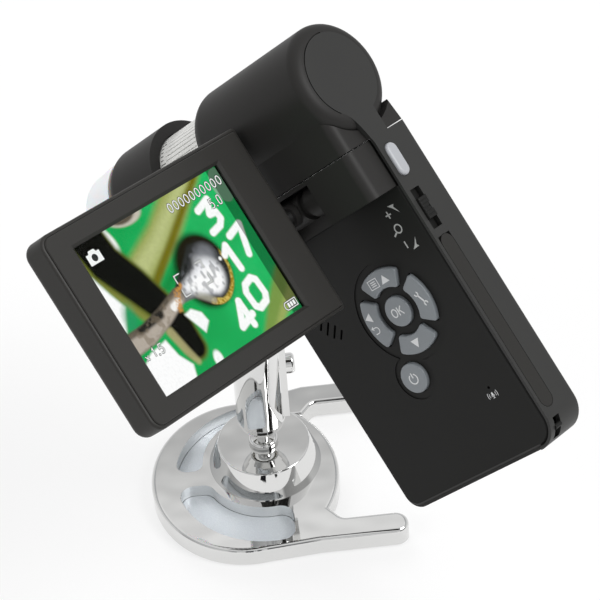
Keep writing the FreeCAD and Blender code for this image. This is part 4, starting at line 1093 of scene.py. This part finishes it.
    def _draw_signs(self, drawing: Drawing, extra: float) -> None:
        """Draws the camera, counter, focus corners, battery and size signs.

        Args:
            drawing: takes the strokes.
            extra: how much wider each stroke is, in millimetres, for the dark edge.
        """
        x, y = self._at(0.093, 0.105)
        grow = extra / 2
        drawing.fill([(x - 2.6 - grow, y - 1.75 - grow), (x + 2.6 + grow, y - 1.75 - grow),
                      (x + 2.6 + grow, y + 1.35 + grow), (x + 1.5, y + 1.35 + grow),
                      (x + 1.1, y + 2.2 + grow), (x - 1.1, y + 2.2 + grow),
                      (x - 1.5, y + 1.35 + grow), (x - 2.6 - grow, y + 1.35 + grow)])
        for place in range(10):
            cx, cy = self._at(0.629 + place * 0.0385, 0.082)
            drawing.arc((cx, cy), (0.72, 1.25), (0, 360), 0.32 + extra)
        self._figure(drawing, self._at(0.862, 0.185), "5", extra)
        self._figure(drawing, self._at(0.915, 0.185), "0", extra)
        self._figure(drawing, self._at(0.092, 0.75), "1", extra)
        self._figure(drawing, self._at(0.139, 0.75), "5", extra)
        cx, cy = self._at(0.042, 0.76)
        drawing.stroke([(cx - 0.6, cy - 0.7), (cx + 0.6, cy + 0.7)], 0.26 + extra)
        drawing.stroke([(cx - 0.6, cy + 0.7), (cx + 0.6, cy - 0.7)], 0.26 + extra)
        for u, v in ((0.115, 0.778), (0.888, 0.214)):
            drawing.disc(self._at(u, v), (0.2 + grow, 0.2 + grow))
        for u, v, across, down in ((0.425, 0.437, 1, 1), (0.612, 0.437, -1, 1),
                                   (0.425, 0.578, 1, -1), (0.612, 0.578, -1, -1)):
            cx, cy = self._at(u, v)
            drawing.stroke([(cx + across * 2.3, cy), (cx, cy), (cx, cy - down * 2.3)],
                           0.3 + extra)
        self._battery(drawing, extra)

    def _figure(self, drawing: Drawing, centre: Point, figure: str, extra: float) -> None:
        """A thin upright figure, 1.3 by 2.6 mm, of straight strokes.

        Args:
            drawing: takes the strokes.
            centre: the middle of the figure.
            figure: which one.
            extra: how much wider each stroke is.
        """
        for path in FIGURES[figure]:
            drawing.stroke([(centre[0] + 0.65 * x, centre[1] + 1.3 * y) for x, y in path],
                           0.3 + extra, closed=figure in CLOSED_FIGURES)

    def _battery(self, drawing: Drawing, extra: float) -> None:
        """A lying battery with three full cells and its stub to the left.

        Args:
            drawing: takes the strokes.
            extra: how much wider each stroke is.
        """
        x, y = self._at(0.952, 0.947)
        grow = extra / 2
        drawing.stroke([(x - 2.2, y - 1.1), (x + 2.3, y - 1.1), (x + 2.3, y + 1.1),
                        (x - 2.2, y + 1.1), (x - 2.75, y + 0.45), (x - 2.75, y - 0.45)],
                       0.26 + extra, closed=True)
        for step in range(3):
            left = x - 1.45 + step * 1.15
            drawing.fill([(left - grow, y - 0.68 - grow), (left + 0.85 + grow, y - 0.68 - grow),
                          (left + 0.85 + grow, y + 0.68 + grow), (left - grow, y + 0.68 + grow)])


@dataclass(frozen=True)
class Glow:
    """A flat self-lit tone for signs on the display, with a slight unevenness."""

    name: str
    colour: Colour
    grain: float = 5200.0
    unevenness: float = 0.04

    def build(self) -> bpy.types.Material:
        """Makes the material.

        Returns:
            A material that gives off the tone, dimmed by fine noise on Object coordinates.
        """
        material = bpy.data.materials.new(self.name)
        graph = Graph(material)
        place = graph.node("ShaderNodeTexCoord").outputs["Object"]
        noise = graph.node("ShaderNodeTexNoise", None, {"Vector": place, "Scale": self.grain})
        dim = graph.signal(noise.outputs["Fac"]) * self.unevenness
        colour = graph.blend(dim, self.colour, (0.0, 0.0, 0.0))
        shader = graph.node("ShaderNodeBsdfPrincipled", None, {
            "Base Color": (0.004, 0.004, 0.004), "Roughness": 0.5, "Specular IOR Level": 0.1,
            "Emission Color": colour, "Emission Strength": 1.0})
        graph.node("ShaderNodeOutputMaterial", None, {"Surface": shader.outputs["BSDF"]})
        return material


@dataclass
class Frame:
    """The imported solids, each dressed with its finish."""

    nodes: dict[str, bpy.types.Object]
    record: dict
    finishes: dict[str, bpy.types.Material]

    def dress(self) -> None:
        """Gives every solid the finish of its record slot, or its own where it has one."""
        slots = {part["node"]: part["material_slot"] for part in self.record["subparts"]}
        for name, node in sorted(self.nodes.items()):
            finish = NODE_FINISH.get(name, slots[name])
            node.data.materials.clear()
            node.data.materials.append(self.finishes[finish])
        LOG.info("%d solids dressed", len(self.nodes))


@dataclass
class Studio:
    """Camera, floor, soft light and the dark cards that the polished metal mirrors."""

    camera_place: Place = (-11.8, -620.2, 699.7)
    camera_right: Place = (0.994, -0.096, -0.054)
    camera_back: Place = (-0.030, -0.7075, 0.706)
    focal_pixels: float = 2967.0
    image_pixels: float = 600.0
    sensor: float = 36.0
    floor_reach: float = 4.0
    floor_drop: float = 0.0001
    floor_white: float = 0.72
    ambient: float = 0.42
    flag_fade: float = 5.0
    flag_low: float = 3.0
    mirrored: tuple[tuple[float, Colour], ...] = (
        (0.0, (0.62, 0.62, 0.62)), (0.25, (0.85, 0.85, 0.85)), (0.55, (0.62, 0.63, 0.64)),
        (0.70, (0.40, 0.41, 0.42)), (0.735, (0.60, 0.60, 0.60)), (0.765, (0.96, 0.96, 0.96)),
        (0.85, (0.86, 0.86, 0.86)), (1.0, (0.70, 0.70, 0.71)))
    flags: tuple[tuple[float, Colour], ...] = (
        (0.0, (0.5, 0.5, 0.5)), (0.26, (1.0, 1.0, 1.0)), (0.33, (0.35, 0.35, 0.36)),
        (0.37, (1.0, 1.0, 1.0)), (0.425, (1.0, 1.0, 1.0)), (0.435, (0.04, 0.045, 0.06)),
        (0.49, (0.02, 0.02, 0.03)), (0.50, (1.0, 1.0, 1.0)), (0.53, (0.9, 0.9, 0.9)),
        (0.54, (0.05, 0.05, 0.06)), (0.57, (0.1, 0.1, 0.1)), (0.58, (1.0, 1.0, 1.0)),
        (0.70, (1.0, 1.0, 1.0)), (0.74, (0.4, 0.4, 0.4)), (1.0, (0.6, 0.6, 0.6)))

    def build(self) -> None:
        """Sets up the whole studio."""
        self._camera()
        self._floor()
        self._world()
        self._lamp("key_light", (0.75, -0.35, 1.15), 0.7, 13.0, True)
        self._lamp("fill_light", (-0.95, -0.55, 0.8), 0.8, 5.0, False)
        self._lamp("back_light", (-0.25, 1.0, 0.9), 0.8, 6.0, False)
        self._card("front_strip", (-0.015, -0.26, 0.0008), (0.009, 0.17))
        self._card("side_strip", (0.030, -0.26, 0.0008), (0.004, 0.17))
        view = bpy.context.scene.view_settings
        view.view_transform = "Standard"

    def _camera(self) -> None:
        """Camera at the photograph's place, turned by its right, up and back axes."""
        back = Vector(self.camera_back).normalized()
        right = Vector(self.camera_right)
        right = (right - back * right.dot(back)).normalized()
        turn = Matrix((right, back.cross(right), back)).transposed().to_4x4()
        data = bpy.data.cameras.new("view")
        data.sensor_width = self.sensor
        data.lens = self.focal_pixels / self.image_pixels * self.sensor
        data.clip_start = 0.05
        data.clip_end = 20.0
        camera = bpy.data.objects.new("view", data)
        camera.matrix_world = Matrix.Translation(Vector(self.camera_place) * MM) @ turn
        bpy.context.scene.collection.objects.link(camera)
        bpy.context.scene.camera = camera

    def _floor(self) -> None:
        """A wide white floor just under the sole, which shows part of the shadow."""
        reach = self.floor_reach
        points = np.array([(-reach, -reach, 0), (reach, -reach, 0), (reach, reach, 0),
                           (-reach, reach, 0)], float) - np.array((0, 0, self.floor_drop))
        mesh = bpy.data.meshes.new("floor")
        mesh.from_pydata(points.tolist(), [], [(0, 1, 2, 3)])
        material = bpy.data.materials.new("floor_white")
        graph = Graph(material)
        path = graph.node("ShaderNodeLightPath").outputs
        seen = graph.signal(path["Is Camera Ray"]) + graph.signal(path["Is Glossy Ray"])
        seen = (seen + graph.signal(path["Is Transmission Ray"])).least(1.0)
        matt = graph.node("ShaderNodeBsdfDiffuse", None, {"Color": (0.86, 0.86, 0.86)})
        lit = graph.node("ShaderNodeEmission", None, {"Color": (1.0, 1.0, 1.0), "Strength": 1.0})
        both = graph.node("ShaderNodeMixShader", None, {
            0: seen * self.floor_white, 1: matt.outputs[0], 2: lit.outputs[0]})
        graph.node("ShaderNodeOutputMaterial", None, {"Surface": both.outputs[0]})
        mesh.materials.append(material)
        floor = bpy.data.objects.new("floor", mesh)
        bpy.context.scene.collection.objects.link(floor)

    def _world(self) -> None:
        """White behind what is seen, an even level of light, and a studio for mirrors.

        What is mirrored is a ramp by height, times dark flags by side, which fade out upwards
        and towards the back.
        """
        world = bpy.data.worlds.new("studio")
        graph = Graph(world)
        path = graph.node("ShaderNodeLightPath").outputs
        seen = graph.signal(path["Is Camera Ray"]) + graph.signal(path["Is Transmission Ray"])
        way = graph.node("ShaderNodeTexCoord").outputs["Generated"]
        way = graph.node("ShaderNodeSeparateXYZ", None, {"Vector": way}).outputs
        sky = graph.node("ShaderNodeValToRGB", {"stops": self.mirrored}, {"Fac": way["Z"]})
        column = graph.signal(way["X"]) * 0.5 + 0.5
        flags = graph.node("ShaderNodeValToRGB", {"stops": self.flags}, {"Fac": column})
        low = (graph.signal(way["Z"]) * -self.flag_fade + self.flag_low).least(1.0).most(0.0)
        front = (graph.signal(way["Y"]) * -self.flag_fade).least(1.0).most(0.0)
        shade = graph.node("ShaderNodeMix", {"data_type": "RGBA", "blend_type": "MULTIPLY"},
                           {0: low * front, 6: sky.outputs["Color"], 7: flags.outputs["Color"]})
        colour = graph.blend(graph.signal(path["Is Glossy Ray"]), (self.ambient,) * 3,
                             shade.outputs[2])
        colour = graph.blend(seen.least(1.0), colour, (1.0, 1.0, 1.0))
        back = graph.node("ShaderNodeBackground", None, {"Color": colour, "Strength": 1.0})
        graph.node("ShaderNodeOutputWorld", None, {"Surface": back.outputs[0]})
        bpy.context.scene.world = world

    def _lamp(self, name: str, place: Place, size: float, power: float, mirrored: bool) -> None:
        """A square soft light that faces the microscope.

        Args:
            name: the light's name.
            place: where it hangs, in metres.
            size: the length of its side.
            power: its strength in watts.
            mirrored: whether polished metal shows it.
        """
        data = bpy.data.lights.new(name, "AREA")
        data.shape = "SQUARE"
        data.size = size
        data.energy = power
        lamp = bpy.data.objects.new(name, data)
        lamp.visible_glossy = mirrored
        aim = Vector((0.0, 0.0, 0.09)) - Vector(place)
        turn = aim.to_track_quat("-Z", "Y").to_matrix().to_4x4()
        lamp.matrix_world = Matrix.Translation(place) @ turn
        bpy.context.scene.collection.objects.link(lamp)

    def _card(self, name: str, centre: Place, half: Point) -> None:
        """A dark card lying on the floor that only polished metal sees.

        Args:
            name: the card's name.
            centre: its middle, in metres.
            half: half its length in x and in y.
        """
        x, y, z = centre
        points = [(x - half[0], y - half[1], z), (x + half[0], y - half[1], z),
                  (x + half[0], y + half[1], z), (x - half[0], y + half[1], z)]
        mesh = bpy.data.meshes.new(name)
        mesh.from_pydata(points, [], [(0, 1, 2, 3)])
        material = bpy.data.materials.new(name + "_dark")
        graph = Graph(material)
        dark = graph.node("ShaderNodeBsdfDiffuse", None, {"Color": (0.01, 0.01, 0.012)})
        graph.node("ShaderNodeOutputMaterial", None, {"Surface": dark.outputs[0]})
        mesh.materials.append(material)
        card = bpy.data.objects.new(name, mesh)
        card.visible_camera = False
        card.visible_diffuse = False
        card.visible_shadow = False
        card.visible_transmission = False
        bpy.context.scene.collection.objects.link(card)


def main() -> None:
    """Loads the frame, dresses it, adds the drawn pieces and sets up the studio."""
    logging.basicConfig(level=logging.INFO, format="%(message)s")
    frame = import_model()
    finishes = {finish.name: finish.build() for finish in FINISHES}
    for glow in (Glow("sign_glow", linear(244, 246, 244)), Glow("sign_edge", linear(22, 26, 24))):
        finishes[glow.name] = glow.build()
    lean = Lean()
    Frame(frame["nodes"], frame["record"], finishes).dress()
    KeySigns(lean, finishes).build()
    FocusScale(lean, finishes).build()
    Display(lean, finishes, PictureGlow().build()).build()
    Studio().build()


if __name__ == "__main__":
    main()
